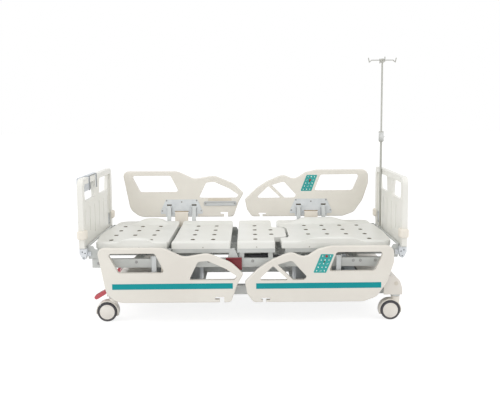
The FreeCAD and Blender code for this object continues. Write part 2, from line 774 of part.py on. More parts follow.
def slotted_lever(hinge_x, drop, lever_deg, slot_outer, slot_half_width, root_x, y):
    """Two cheeks that hang from a cross tube; a radial slot in them takes the pin of the push rod."""
    angle = math.radians(lever_deg)
    direction = (math.sin(angle), -math.cos(angle))
    inner = (hinge_x + direction[0] * drop, hinge_z + direction[1] * drop)
    outer = (hinge_x + direction[0] * slot_outer, hinge_z + direction[1] * slot_outer)
    start = (hinge_x + direction[0] * 14, hinge_z + direction[1] * 14)
    radius = slot_half_width + 9
    cheeks = []
    for offset in (rod_radius + 2, -rod_radius - 8):
        place = lambda p, y0=y + offset: Vector(p.x, y0, p.y)
        deep = Vector(0, 6, 0)
        arm = capsule(start, outer, radius, place, deep)
        root = capsule((root_x, hinge_z), start, 12, place, deep)
        slot = capsule(inner, outer, slot_half_width, place, deep)
        cheeks.append(fuse([arm, root]).cut(slot))
    return cheeks


thigh_tube_foot = leg_hinge_x + 20
thigh = side_tubes(thigh_tube_foot, thigh_hinge_x + 12)
thigh += [frame_cross(-435, -411), frame_cross(-122, -98)]
thigh += lug_and_pin(leg_hinge_x, -423)
thigh += slotted_lever(thigh_hinge_x, knee_drive_drop, knee_lever_deg, knee_slot_outer, knee_slot_half_width,
                       -110, knee_drive_y)
nodes["thigh_frame"] = cut_hinge_bores(fuse(thigh), thigh_hinge_x)

roller_y = frame_tube_y - 3
roller_z = deck_top + roller_radius + 0.6


def leg_frame():
    foot_end = roller_x - 4
    pieces = side_tubes(foot_end, leg_hinge_x + 12)
    pieces += [frame_cross(foot_end, foot_end + 24), frame_cross(-520, -496)]
    lug_y0 = roller_y - 17
    bracket = box(foot_end, roller_x + 10, lug_y0, lug_y0 + 6, roller_z - 8, frame_top - 2)
    axle = rod_y(roller_x, roller_z, 5, lug_y0, roller_y + 9)
    pieces += both_sides(bracket) + both_sides(axle)
    frame = cut_hinge_bores(fuse(pieces), leg_hinge_x)
    roller = rod_y(roller_x, roller_z, roller_radius, roller_y - 9, roller_y + 9)
    roller = roller.cut(rod_y(roller_x, roller_z, 5 + pin_clearance, roller_y - 10, roller_y + 10))
    return Part.Compound([frame] + both_sides(roller))


nodes["leg_frame"] = leg_frame()

back = side_tubes(back_hinge_x - 12, back_panel_head - 40)
back += [frame_cross(310, 334), frame_cross(600, 624), frame_cross(back_panel_head - 80, back_panel_head - 56)]
back += slotted_lever(back_hinge_x, back_drive_drop, back_lever_deg, back_slot_outer, back_slot_half_width,
                      322, back_drive_y)
nodes["back_frame"] = cut_hinge_bores(fuse(back), back_hinge_x)


# Back carriage: two slide blocks on the deck tubes, with the hinge pins of the backrest.
def back_carriage():
    y0 = deck_half_width - deck_tube_width + 2
    y1 = deck_half_width - 2
    foot_end = back_hinge_x - 18
    head_end = back_hinge_x + 89
    low = deck_top + seat_gap
    block = box(foot_end, head_end, y0, y1, low, low + 25)
    lug_y1 = frame_tube_y - frame_tube_width / 2 - 1
    lug = slab_xz([(foot_end, low + 10, 0), (foot_end + 40, low + 10, 0),
                   (back_hinge_x + 12, hinge_z + 12, 12), (back_hinge_x - 12, hinge_z + 12, 12)],
                  lug_y1 - lug_thickness, lug_y1)
    pin = rod_y(back_hinge_x, hinge_z, hinge_pin_radius, lug_y1 - lug_thickness, frame_tube_y + 12)
    cross = box(head_end - 24, head_end, -y0 - 2, y0 + 2, low + 2, low + 25)
    return fuse(both_sides(block) + both_sides(lug) + both_sides(pin) + [cross])


nodes["back_carriage"] = back_carriage()


# Actuators: housings fixed to the deck, and push rods whose pins run in the slotted levers.
def actuator_housing(y, z, front_x, rear_x, mount_x):
    direction = 1 if front_x > rear_x else -1
    outward = 1 if y > 0 else -1
    gear_x = rear_x + direction * 70
    pieces = [rod_x(y, z, actuator_tube_radius, min(gear_x, front_x) - 1, max(gear_x, front_x) + 1)]
    near_y = y - outward * 30
    far_y = y + outward * 62
    pieces.append(slab_yz([(near_y, z - 26, 8), (far_y, z - 26, 20), (far_y, z + 26, 20), (near_y, z + 26, 8)],
                          min(rear_x, gear_x), max(rear_x, gear_x)))
    motor_end = gear_x + direction * 110
    pieces.append(rod_x(y + outward * 40, z, 21, min(gear_x, motor_end) - 1, max(gear_x, motor_end) + 1))
    eye = min(rear_x, mount_x), max(rear_x, mount_x)
    pieces.append(box(eye[0], eye[1], y - 10, y + 10, z - 10, z + 10))
    housing = fuse(pieces)
    bore = rod_x(y, z, rod_radius + rod_clearance, min(front_x, rear_x) + 25, max(front_x, rear_x) + 2)
    if direction < 0:
        bore = rod_x(y, z, rod_radius + rod_clearance, min(front_x, rear_x) - 2, max(front_x, rear_x) - 25)
    return housing.cut(bore)


back_rod_z = hinge_z - back_drive_drop
back_rod_x = back_hinge_x + back_drive_drop * math.tan(math.radians(back_lever_deg))
knee_rod_z = hinge_z - knee_drive_drop
knee_rod_x = thigh_hinge_x + knee_drive_drop * math.tan(math.radians(knee_lever_deg))
nodes["actuator_housings"] = Part.Compound([
    actuator_housing(back_drive_y, back_rod_z, 185, -180, -196 + seat_gap),
    actuator_housing(knee_drive_y, knee_rod_z, 5, 185, 200 - seat_gap),
])


def push_rod(x, z, y, tail_x):
    rod = rod_x(y, z, rod_radius, min(x, tail_x), max(x, tail_x))
    eye = rod_y(x, z, rod_radius + 1, y - rod_radius, y + rod_radius)
    pin = rod_y(x, z, actuator_pin_radius, y - rod_radius - 8, y + rod_radius + 8)
    return fuse([rod, eye, pin])


nodes["back_push_rod"] = push_rod(back_rod_x, back_rod_z, back_drive_y, -85)
nodes["knee_push_rod"] = push_rod(knee_rod_x, knee_rod_z, knee_drive_y, 120)


# CPR release: a flat red plate hung from a pin at the near side of the deck.
def cpr_handle():
    y = -cpr_pivot_y
    plate = box(cpr_foot_x, cpr_head_x, y - cpr_thickness / 2, y + cpr_thickness / 2,
                cpr_top - cpr_height, cpr_top)
    knuckle = rod_x(y, cpr_top, 6, cpr_foot_x, cpr_head_x)
    handle = fuse([plate, knuckle])
    return handle.cut(rod_x(y, cpr_top, 3 + pin_clearance, cpr_foot_x - 1, cpr_head_x + 1))


nodes["cpr_handle"] = cpr_handle()

# Conduit: a corrugated cable duct that rests on the deck beside the seat rail.
def cable_conduit():
    z = deck_top + conduit_radius + seat_gap
    pieces = [rod_x(conduit_y, z, conduit_radius - 1.5, conduit_start_x, conduit_end_x)]
    rib_count = int((conduit_end_x - conduit_start_x) / 8)
    for i in range(rib_count):
        x = conduit_start_x + 8 * i + 2
        pieces.append(rod_x(conduit_y, z, conduit_radius, x, x + 4))
    return fuse(pieces)


nodes["cable_conduit"] = cable_conduit()


# Side rails: outlines given for the raised rail at the far side.
foot_rail_outline = [(-917, 892, 38), (-500, 890, 130), (-375, 831, 90), (-222, 856, 110), (-75, 795, 150),
                     (0, 722, 14), (-38, 655, 60), (-78, 541, 28), (-790, 541, 120), (-862, 600, 90)]
foot_rail_windows = [
    [(-848, 857, 14), (-553, 857, 22), (-490, 732, 16), (-784, 732, 18)],
    [(-340, 686, 8), (-284, 803, 25), (-222, 808, 40), (-110, 757, 80), (-38, 708, 10), (-56, 686, 8)],
    [(-178, 577, 4), (-121, 577, 4), (-121, 530, 0), (-149, 530, 0), (-149, 560, 4), (-178, 560, 4)],
]
head_rail_outline = [(9, 673, 16), (95, 757, 160), (180, 812, 160), (300, 862, 80), (383, 823, 70), (470, 878, 50),
                     (548, 896, 70), (944, 897, 50), (944, 790, 55), (903, 665, 150), (838, 572, 60),
                     (755, 541, 80), (62, 541, 30), (24, 596, 30)]
head_rail_windows = [
    [(92, 682, 10), (187, 773, 6), (283, 682, 5)],
    [(213, 781, 5), (305, 808, 28), (403, 700, 14), (382, 683, 10), (312, 683, 6)],
    [(536, 737, 12), (584, 859, 20), (880, 860, 18), (826, 738, 28)],
    [(113, 569, 4), (168, 569, 4), (168, 555, 4), (143, 555, 4), (143, 530, 0), (122, 530, 0), (122, 555, 4),
     (113, 555, 3)],
]


def rail_panel(outline, windows):
    body = slab_xz(outline, rail_inner_y, rail_inner_y + rail_thickness)
    faces = [f for f in body.Faces if f.BoundBox.YLength < 0.01]
    body = body.makeChamfer(rail_edge, [e for f in faces for e in f.Edges])
    for window in windows:
        body = body.cut(slab_xz(window, rail_inner_y - 1, rail_inner_y + rail_thickness + 1))
    return body


def plate_pivots(x, half_gap, z):
    """Ears on the mounting plate with the pin that a swing arm or link turns on."""
    pieces = []
    for side in (1, -1):
        inner = x + side * (half_gap + ear_gap)
        x0 = min(inner, inner + side * ear_plate)
        pieces.append(box(x0, x0 + ear_plate, rail_pivot_y, rail_inner_y - 2, z - 9, z + 9))
        pieces.append(rod_x(rail_pivot_y, z, 9, x0, x0 + ear_plate))
    pin_half = half_gap + ear_gap + ear_plate
    pieces.append(rod_x(rail_pivot_y, z, rail_pin_radius, x - pin_half, x + pin_half))
    return pieces


def rail_plate(mid):
    outer = rail_inner_y - seat_gap
    plate = slab_xz([(mid - 120, 676, 8), (mid + 120, 676, 8), (mid + 159, 588, 12), (mid + 159, 566, 6),
                     (mid + 121, 566, 6), (mid + 121, 546, 4), (mid - 121, 546, 4), (mid - 121, 566, 6),
                     (mid - 159, 566, 6), (mid - 159, 588, 12)], outer - plate_thickness, outer)
    pieces = [plate]
    for offset in (-arm_spacing, arm_spacing):
        pieces += plate_pivots(mid + offset, arm_width / 2, rail_pivot_z)
    pieces += plate_pivots(mid, link_width / 2, rail_pivot_z - link_drop)
    joined = fuse(pieces)
    limit = box(mid - 300, mid + 300, 0, outer, 0, 2000)
    return joined.common(limit)


def swing_bar(x, width, radius, drop):
    """One arm or link, with a pin bore at each end."""
    low = (arm_pivot_y, arm_pivot_z - drop)
    high = (rail_pivot_y, rail_pivot_z - drop)
    place = lambda p: Vector(x - width / 2, p.x, p.y)
    bar = capsule(low, high, radius, place, Vector(width, 0, 0))
    for y, z in (low, high):
        bar = bar.cut(rod_x(y, z, rail_pin_radius + pin_clearance, x - width, x + width))
    return bar


def folded_bar(bar, drop):
    """The same bar swung down about its lower pivot, as on the folded near side."""
    swung = bar.copy()
    swung.rotate(Vector(0, arm_pivot_y, arm_pivot_z - drop), Vector(1, 0, 0), -2 * arm_raised_deg)
    return swung


for end, mid, outline, windows in (("foot", foot_rail_mid_x, foot_rail_outline, foot_rail_windows),
                                   ("head", head_rail_mid_x, head_rail_outline, head_rail_windows)):
    panel = rail_panel(outline, windows)
    plate = rail_plate(mid)
    arms = [swing_bar(mid + offset, arm_width, arm_radius, 0) for offset in (-arm_spacing, arm_spacing)]
    link = swing_bar(mid, link_width, link_radius, link_drop)
    nodes["rail_panel_far_" + end] = panel
    nodes["rail_plate_far_" + end] = plate
    nodes["rail_arms_far_" + end] = Part.Compound(arms)
    nodes["rail_link_far_" + end] = link
    lowered = Vector(0, 0, -rail_drop)
    nodes["rail_panel_near_" + end] = mirrored(panel).translated(lowered)
    nodes["rail_plate_near_" + end] = mirrored(plate).translated(lowered)
    nodes["rail_arms_near_" + end] = Part.Compound([mirrored(folded_bar(arm, 0)) for arm in arms])
    nodes["rail_link_near_" + end] = mirrored(folded_bar(link, link_drop))


# Head and foot boards: two posts, a top rail and a grooved panel with two windows, on pegs.
def board(x):
    outer = post_y + post_width / 2
    half_panel = board_panel_thickness / 2
    outline = [(-outer, 548, 8), (-outer, board_top, 58), (outer, board_top, 58), (outer, 548, 8),
               (outer - 8, 540, 4), (outer - 8, board_leg_bottom, 4), (outer - 56, board_leg_bottom, 4),
               (outer - 90, board_panel_bottom, 50), (-outer + 90, board_panel_bottom, 50),
               (-outer + 56, board_leg_bottom, 4), (-outer + 8, board_leg_bottom, 4), (-outer + 8, 540, 4)]
    panel_x = x + math.copysign(board_panel_offset, x)
    panel = slab_yz(outline, panel_x - half_panel, panel_x + half_panel)
    rim = slab_yz(outline, x - post_thickness / 2, x + post_thickness / 2)
    inner_y = post_y - post_width / 2
    inner_top = board_top - board_rail_height
    opening = slab_yz([(-inner_y, 400, 0), (-inner_y, inner_top, 24), (inner_y, inner_top, 24), (inner_y, 400, 0)],
                      x - post_thickness, x + post_thickness)
    rim = rim.cut(opening)
    whole = fuse([panel, rim])
    for sign in (1, -1):
        window = [(sign * 106, window_top - 4, 14), (sign * 394, window_top - 4, 14),
                  (sign * 357, window_bottom, 12), (sign * 77, window_bottom, 12)]
        whole = whole.cut(slab_yz(window, x - 30, x + 30))
    for number, bottom in ((0.5, 528.0), (1.5, 560.0), (2.5, 620.0)):
        for sign in (1, -1):
            y = sign * number * groove_spacing
            for face in (1, -1):
                x0 = panel_x + face * (half_panel - groove_depth)
                x1 = panel_x + face * (half_panel + 1)
                cut = box(min(x0, x1), max(x0, x1), y - groove_width / 2, y + groove_width / 2, bottom, groove_top)
                whole = whole.cut(cut)
    pegs = [rod_z(x, y, peg_radius, board_leg_bottom - peg_length, board_leg_bottom + 5) for y in (post_y, -post_y)]
    return fuse([whole] + pegs)


def bumpers(x):
    """Round corner bumpers that wrap each post."""
    middle = x - math.copysign(bumper_inset, x)
    place = lambda p: Vector(p.x, p.y, bumper_z - bumper_height / 2)
    sleeve = capsule((middle, bumper_inner_y), (middle, bumper_y), bumper_radius, place,
                     Vector(0, 0, bumper_height))
    ends = [f for f in sleeve.Faces if f.BoundBox.ZLength < 0.01]
    sleeve = sleeve.makeFillet(9.0, [e for f in ends for e in f.Edges])
    half = post_thickness / 2 + seat_gap
    post = box(x - half, x + half, 0, post_y + post_width / 2 + seat_gap, 400, 700)
    return Part.Compound(both_sides(sleeve.cut(post)))


for end, x in (("head", board_x), ("foot", -board_x)):
    nodes[end + "_board"] = board(x)
    nodes[end + "_bumpers"] = bumpers(x)


# Nurse control panel: a flat box behind the foot board, on two hooks over its top rail.
def nurse_panel():
    face = -board_x - post_thickness / 2 - seat_gap
    body = slab_xz([(face - nurse_thickness, nurse_bottom, 6), (face, nurse_bottom, 3),
                    (face, board_top + 4, 3), (face - nurse_thickness, board_top - 6, 8)],
                   nurse_mid_y - nurse_half_width, nurse_mid_y + nurse_half_width)
    pieces = [body]
    inner = -board_x + post_thickness / 2 + seat_gap
    top = board_top + seat_gap
    for side in (1, -1):
        y0 = nurse_mid_y + side * nurse_hook_y - nurse_hook_width / 2
        y1 = y0 + nurse_hook_width
        pieces.append(box(face - 2, inner + hook_sheet, y0, y1, top, top + hook_sheet))
        pieces.append(box(inner, inner + hook_sheet, y0, y1, window_top - 50, top + hook_sheet))
    return fuse(pieces)


nodes["nurse_panel"] = nurse_panel()


# Infusion pole: a lower tube with a clamp collar, and an upper tube with four hooks.
def iv_pole_lower():
    tube = rod_z(pole_x, pole_y, pole_lower_radius, pole_bottom, pole_joint_z + 10)
    collar = rod_z(pole_x, pole_y, collar_radius, pole_joint_z, pole_joint_z + collar_height)
    collar = collar.makeFillet(5.0, [e for e in collar.Edges if e.Closed])
    knob = rod_y(pole_x, pole_joint_z + collar_height / 2, 11, pole_y - collar_radius - 16, pole_y)
    whole = fuse([tube, collar, knob])
    inner = pole_upper_radius + pole_clearance
    bore = rod_z(pole_x, pole_y, inner, pole_bottom + 5, pole_joint_z + collar_height + 1)
    return whole.cut(bore)


def iv_pole_upper():
    low = pole_joint_z - pole_hidden_length
    rod = rod_z(pole_x, pole_y, pole_upper_radius, low, pole_top)
    hub = rod_z(pole_x, pole_y, 13, pole_top - 16, pole_top + 10)
    pieces = [rod, hub]
    for quarter in range(4):
        points = [(0, pole_top), (hook_reach - 22, pole_top), (hook_reach - 6, pole_top - 14),
                  (hook_reach, pole_top + 14)]
        for first, second in zip(points, points[1:]):
            place = lambda p: Vector(pole_x + p.x, pole_y - hook_wire_radius, p.y)
            wire = capsule(first, second, hook_wire_radius, place, Vector(0, 2 * hook_wire_radius, 0))
            wire.rotate(Vector(pole_x, pole_y, 0), Vector(0, 0, 1), 90 * quarter)
            pieces.append(wire)
    return fuse(pieces)


nodes["iv_pole_lower"] = iv_pole_lower()
nodes["iv_pole_upper"] = iv_pole_upper()


for name, shape in nodes.items():
    shape.exportStep("parts/" + name + ".step")
    print(name, len(shape.Solids), "solids", "valid" if shape.isValid() else "INVALID",
          round(shape.Volume / 1e6, 3), "litres")
print(len(nodes), "nodes")
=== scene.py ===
import json
import math

import bmesh
import bpy
import numpy as np
from mathutils import Matrix, Vector


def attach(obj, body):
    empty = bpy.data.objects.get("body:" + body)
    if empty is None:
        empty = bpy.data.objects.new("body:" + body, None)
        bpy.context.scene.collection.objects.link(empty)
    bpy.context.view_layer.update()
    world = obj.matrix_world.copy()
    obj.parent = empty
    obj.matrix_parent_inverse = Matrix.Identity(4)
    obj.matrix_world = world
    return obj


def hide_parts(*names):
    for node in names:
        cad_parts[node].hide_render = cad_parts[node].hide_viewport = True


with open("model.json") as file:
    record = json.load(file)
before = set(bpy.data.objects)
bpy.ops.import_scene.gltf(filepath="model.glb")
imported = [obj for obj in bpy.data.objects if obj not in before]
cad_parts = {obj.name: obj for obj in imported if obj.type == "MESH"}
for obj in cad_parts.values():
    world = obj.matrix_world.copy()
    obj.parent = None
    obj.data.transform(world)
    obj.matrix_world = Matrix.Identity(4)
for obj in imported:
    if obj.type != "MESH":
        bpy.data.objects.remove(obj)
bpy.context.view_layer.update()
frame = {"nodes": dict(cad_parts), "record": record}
body_of_node = {node: body for body, nodes in frame["record"]["behaviour"]["bodies"].items()
                for node in nodes}

# ---- Casters
# Four twin-wheel casters: a dark rubber tyre on a pale dished disc at each side of a moulded hood,
# under a crowned fender. The hood swivels under the base on a steel stem, the discs clip over the axle.


def tone(text):
    """A colour written as six hex digits, turned from display values into linear light."""
    values = [int(text[i:i + 2], 16) / 255 for i in (0, 2, 4)]
    return tuple(v / 12.92 if v < 0.04045 else ((v + 0.055) / 1.055) ** 2.4 for v in values) + (1.0,)


def make_group(name, inputs, outputs):
    """An empty shader group with its sockets; each entry is (name, kind, value)."""
    kinds = {"colour": "NodeSocketColor", "value": "NodeSocketFloat", "vector": "NodeSocketVector"}
    group = bpy.data.node_groups.new(name, "ShaderNodeTree")
    for label, kind, value in inputs:
        socket = group.interface.new_socket(name=label, in_out="INPUT", socket_type=kinds[kind])
        if value is not None:
            socket.default_value = value
    for label, kind in outputs:
        group.interface.new_socket(name=label, in_out="OUTPUT", socket_type=kinds[kind])
    return group, group.nodes.new("NodeGroupInput"), group.nodes.new("NodeGroupOutput")


def put(tree, kind, sockets=None, **settings):
    """Adds a shader node, sets its properties, and feeds its inputs with values or with other sockets."""
    node = tree.nodes.new("ShaderNode" + kind)
    for key, value in settings.items():
        setattr(node, key, value)
    for key, value in (sockets or {}).items():
        if isinstance(value, bpy.types.NodeSocket):
            tree.links.new(value, node.inputs[key])
        else:
            node.inputs[key].default_value = value
    return node


def maths(tree, operation, *values):
    """The result of an arithmetic node on values or sockets."""
    return put(tree, "Math", dict(enumerate(values)), operation=operation).outputs[0]


def moulded_surface_group():
    """Moulded surface: cloudy tone between two colours, uneven gloss, and a fine pebbled bump."""
    group, into, out = make_group(
        "moulded_surface",
        [("Colour", "colour", None), ("Shade", "colour", None), ("Cloud Scale", "value", 6.0),
         ("Grain Scale", "value", 700.0), ("Grain Depth", "value", 0.1), ("Roughness", "value", 0.4),
         ("Roughness Spread", "value", 0.1)],
        [("Colour", "colour"), ("Roughness", "value"), ("Normal", "vector")])
    where = put(group, "TexCoord").outputs["Object"]
    cloud = put(group, "TexNoise", {"Vector": where, "Scale": into.outputs["Cloud Scale"],
                                    "Detail": 4.0, "Roughness": 0.55})
    spread = put(group, "MapRange", {"Value": cloud.outputs["Fac"], "From Min": 0.35,
                                     "From Max": 0.7})
    blend = put(group, "Mix", {0: spread.outputs["Result"], 6: into.outputs["Colour"],
                               7: into.outputs["Shade"]}, data_type="RGBA")
    smear = put(group, "TexNoise", {"Vector": where, "Scale": 38.0, "Detail": 3.0})
    uneven = maths(group, "MULTIPLY_ADD", maths(group, "SUBTRACT", smear.outputs["Fac"], 0.5),
                   into.outputs["Roughness Spread"], into.outputs["Roughness"])
    grain = put(group, "TexNoise", {"Vector": where, "Scale": into.outputs["Grain Scale"],
                                    "Detail": 2.0})
    bump = put(group, "Bump", {"Height": grain.outputs["Fac"], "Distance": 0.0004,
                               "Strength": into.outputs["Grain Depth"]})
    group.links.new(blend.outputs[2], out.inputs["Colour"])
    group.links.new(uneven, out.inputs["Roughness"])
    group.links.new(bump.outputs["Normal"], out.inputs["Normal"])
    return group


def floor_dust_group():
    """Floor dust: a grey film that thickens towards the floor and settles in patches."""
    group, into, out = make_group(
        "floor_dust",
        [("Colour", "colour", None), ("Dust", "colour", tone("9C978D")), ("Top", "value", 0.2),
         ("Amount", "value", 0.3)],
        [("Colour", "colour")])
    where = put(group, "TexCoord").outputs["Object"]
    split = put(group, "SeparateXYZ", {"Vector": where})
    height = put(group, "MapRange", {"Value": split.outputs["Z"], "From Min": into.outputs["Top"],
                                     "From Max": 0.0})
    patch = put(group, "TexNoise", {"Vector": where, "Scale": 24.0, "Detail": 5.0})
    both = maths(group, "MULTIPLY", height.outputs["Result"], patch.outputs["Fac"])
    amount = maths(group, "MULTIPLY", both, into.outputs["Amount"])
    blend = put(group, "Mix", {0: amount, 6: into.outputs["Colour"], 7: into.outputs["Dust"]},
                data_type="RGBA")
    group.links.new(blend.outputs[2], out.inputs["Colour"])
    return group


moulded_surface = moulded_surface_group()
floor_dust = floor_dust_group()


def place_group(tree, group, **values):
    """A shader group placed in a material, with its own values."""
    node = tree.nodes.new("ShaderNodeGroup")
    node.node_tree = group
    for key, value in values.items():
        node.inputs[key.replace("_", " ")].default_value = value
    return node


def finish(name, group, dust=0.0, coat=0.0, metallic=0.0, specular=0.5, **values):
    """A material whose colour, roughness and normal come from a group, with a film of dust over it."""
    material = bpy.data.materials.new(name)
    material.use_nodes = True
    tree = material.node_tree
    shader = tree.nodes["Principled BSDF"]
    skin = place_group(tree, group, **values)
    tinted = skin.outputs["Colour"]
    if dust:
        film = place_group(tree, floor_dust, Amount=dust)
        tree.links.new(tinted, film.inputs["Colour"])
        tinted = film.outputs["Colour"]
    tree.links.new(tinted, shader.inputs["Base Color"])
    tree.links.new(skin.outputs["Roughness"], shader.inputs["Roughness"])
    tree.links.new(skin.outputs["Normal"], shader.inputs["Normal"])
    shader.inputs["Coat Weight"].default_value = coat
    shader.inputs["Metallic"].default_value = metallic
    shader.inputs["Specular IOR Level"].default_value = specular
    return material


def moulded(name, colour, shade, roughness=0.4, grain=700.0, depth=0.1, cloud=6.0, **coats):
    """A plastic, rubber or painted finish built on the moulded surface group."""
    return finish(name, moulded_surface, Colour=tone(colour), Shade=tone(shade), Cloud_Scale=cloud,
                  Grain_Scale=grain, Grain_Depth=depth, Roughness=roughness, Roughness_Spread=0.12, **coats)


def show(name, mesh, body):
    """An object of a mesh in the scene, riding on a body."""
    piece = bpy.data.objects.new(name, mesh)
    bpy.context.scene.collection.objects.link(piece)
    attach(piece, body)
    return piece


def add_piece(name, surface, body, material, smooth=True):
    """A new piece from points and faces: doubled points merge and every face turns outwards."""
    points, faces = surface
    mesh = bpy.data.meshes.new(name)
    mesh.from_pydata(np.asarray(points).reshape(-1, 3).tolist(), [], np.asarray(faces).tolist())
    mesh.polygons.foreach_set("use_smooth", np.full(len(mesh.polygons), smooth))
    mesh.materials.append(material)
    work = bmesh.new()
    work.from_mesh(mesh)
    bmesh.ops.remove_doubles(work, verts=work.verts, dist=1e-6)
    bmesh.ops.recalc_face_normals(work, faces=work.faces)
    work.to_mesh(mesh)
    work.free()
    return show(name, mesh, body)


def grid_faces(rows, columns):
    """Quads between the rows of a grid of points, with each row closed on itself."""
    i, j = np.meshgrid(np.arange(rows - 1), np.arange(columns), indexing="ij")
    k = (j + 1) % columns
    quads = np.stack([i * columns + j, i * columns + k, (i + 1) * columns + k, (i + 1) * columns + j], -1)
    return quads.reshape(-1, 4)


def joined(parts):
    """Several (points, faces) surfaces as one."""
    offsets = np.cumsum([0] + [len(points) for points, faces in parts[:-1]])
    return (np.concatenate([points for points, faces in parts]),
            np.concatenate([faces + start for (points, faces), start in zip(parts, offsets)]))


def turned(profile, centre, axis, steps=48):
    """A turned form: (r, h) of the profile goes round as centre + h axis + r (cos a across + sin a up)."""
    profile = np.array(profile, float)
    angle = np.linspace(0, 2 * np.pi, steps, endpoint=False)
    axis = np.array(axis, float)
    helper = np.array([1.0, 0, 0]) if abs(axis[0]) < 0.9 else np.array([0, 1.0, 0])
    across = np.cross(helper, axis)
    across /= np.linalg.norm(across)
    up = np.cross(axis, across)
    ring = np.cos(angle)[:, None] * across + np.sin(angle)[:, None] * up
    points = np.array(centre) + profile[:, None, 1, None] * axis + profile[:, None, 0, None] * ring[None]
    return points.reshape(-1, 3), grid_faces(len(profile), steps)


tyre_rubber = moulded("tyre_rubber", "302E36", "3E3C45", roughness=0.62, grain=1500, depth=0.35, dust=0.35)
disc_plastic = moulded("wheel_disc_plastic", "F1ECE5", "EBE5DC", roughness=0.42, dust=0.25)
hood_plastic = moulded("caster_hood_plastic", "EDE8E0", "E6E0D6", roughness=0.4, dust=0.2)
bearing_steel = moulded("bearing_steel", "8A7F70", "6F675C", roughness=0.4, metallic=0.7, dust=0.3)

wheel_radius, wheel_offset, trail, half_track = 0.0625, 0.026, 0.036, 0.403
tiny = 0.0003  # radius of the small hole that closes a turned form on its axis
# Tread, as (radius, height): a crowned band with two shallow grooves, rounded shoulders and a soft bead.
half_tread = [(0.0482, 0.0106), (0.0500, 0.0122), (0.0545, 0.0126), (0.0585, 0.0119), (0.0608, 0.0102),
              (0.0621, 0.0075), (0.0624, 0.0052), (0.0618, 0.0046), (0.0618, 0.0038), (0.0625, 0.0032)]
tread = [(r, -h) for r, h in half_tread] + half_tread[::-1] + [(half_tread[0][0], -half_tread[0][1])]
# Disc: a flat back, and a face with a soft step near the tyre and a low dome at the middle.
disc = [(0.0004, -0.0118), (0.0100, -0.0118), (0.0482, -0.0112), (0.0482, 0.0100), (0.0478, 0.0118),
        (0.0466, 0.0124), (0.0446, 0.0120), (0.0436, 0.0112), (0.0422, 0.0114), (0.0370, 0.0126),
        (0.0280, 0.0136), (0.0150, 0.0142), (0.0004, 0.0143)]


def add_wheels(corner, centre):
    """The two tyres of a caster as one piece, and its two discs as another."""
    tyres, discs = [], []
    for outward in (1, -1):
        middle = (centre[0], centre[1] + outward * wheel_offset, centre[2])
        tyres.append(turned(tread, middle, (0, 1, 0), 96))
        discs.append(turned([(r, h * outward) for r, h in disc], middle, (0, 1, 0), 72))
    for label, parts, material, slot in (("tyres", tyres, tyre_rubber, "tyre_rubber"),
                                         ("discs", discs, disc_plastic, "disc_plastic")):
        piece = add_piece(f"wheel_{label}_{corner}", joined(parts), "wheels_" + corner, material)
        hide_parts(f"caster_{label}_{corner}")


def add_hood(corner, centre, stem_x):
    """Hood: at height t the skin is (half_x c^p, half_y s^p) with c, s the cosine and sine of the turn.

    The half widths and the power p go from a squared arch over the wheels' gap to a round neck, by the
    smooth step of t, and the middle moves from the wheels to the stem.
    """
    low, high, arch_radius, arch_half, neck_radius = 0.030, 0.150, 0.0735, 0.0118, 0.0283
    levels, steps = 40, 56
    turn = np.linspace(0, 2 * np.pi, steps, endpoint=False)
    t = np.linspace(0, 1, levels)[:, None]
    blend = np.clip((t - 0.46) / 0.34, 0, 1)
    blend = blend * blend * (3 - 2 * blend)
    height = low + (high - low) * t
    reach = np.sqrt(np.clip(arch_radius ** 2 - (height - wheel_radius) ** 2, 0.0002, None))
    half_x = reach * (1 - blend) + neck_radius * blend
    half_y = arch_half * (1 - blend) + neck_radius * blend
    power = 0.35 * (1 - blend) + 1.0 * blend
    wave_x = np.sign(np.cos(turn)) * np.abs(np.cos(turn)) ** power
    wave_y = np.sign(np.sin(turn)) * np.abs(np.sin(turn)) ** power
    middle_x = centre[0] * (1 - blend) + stem_x * blend
    skin = np.stack([middle_x + half_x * wave_x, centre[1] + half_y * wave_y, height + 0 * wave_x], -1)
    floor_ring = np.broadcast_to([centre[0], centre[1], low], (1, steps, 3))
    top_ring = np.broadcast_to([stem_x, centre[1], high], (1, steps, 3))
    points = np.concatenate([floor_ring, skin, top_ring]).reshape(-1, 3)
    piece = add_piece("hood_" + corner, (points, grid_faces(levels + 2, steps)), "fork_" + corner,
                      hood_plastic)
    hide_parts("caster_hood_" + corner)


def add_fender(corner, centre):
    """Fender: the section (radius + rise sqrt(1 - |u|^5), width u) swept about the axle over both treads."""
    radius, rise, width, inner_rise, inner_width = 0.0655, 0.0080, 0.034, 0.0050, 0.032
    u = np.linspace(-1, 1, 15)
    crown = np.sqrt(1 - np.abs(u) ** 5)
    section = np.concatenate([np.stack([radius + rise * crown, width * u], -1),
                              np.stack([radius + inner_rise * crown, inner_width * u], -1)[::-1]])
    sweep = np.radians(np.linspace(-12, 192, 64))[:, None]
    shell = np.stack([centre[0] + section[:, 0] * np.cos(sweep), centre[1] + section[:, 1] + 0 * sweep,
                      centre[2] + section[:, 0] * np.sin(sweep)], -1)
    closed = np.concatenate([shell[:1] * 0 + shell[0].mean(0), shell, shell[-1:] * 0 + shell[-1].mean(0)])
    add_piece("fender_" + corner, (closed.reshape(-1, 3), grid_faces(len(closed), len(section))),
              "fork_" + corner, hood_plastic)


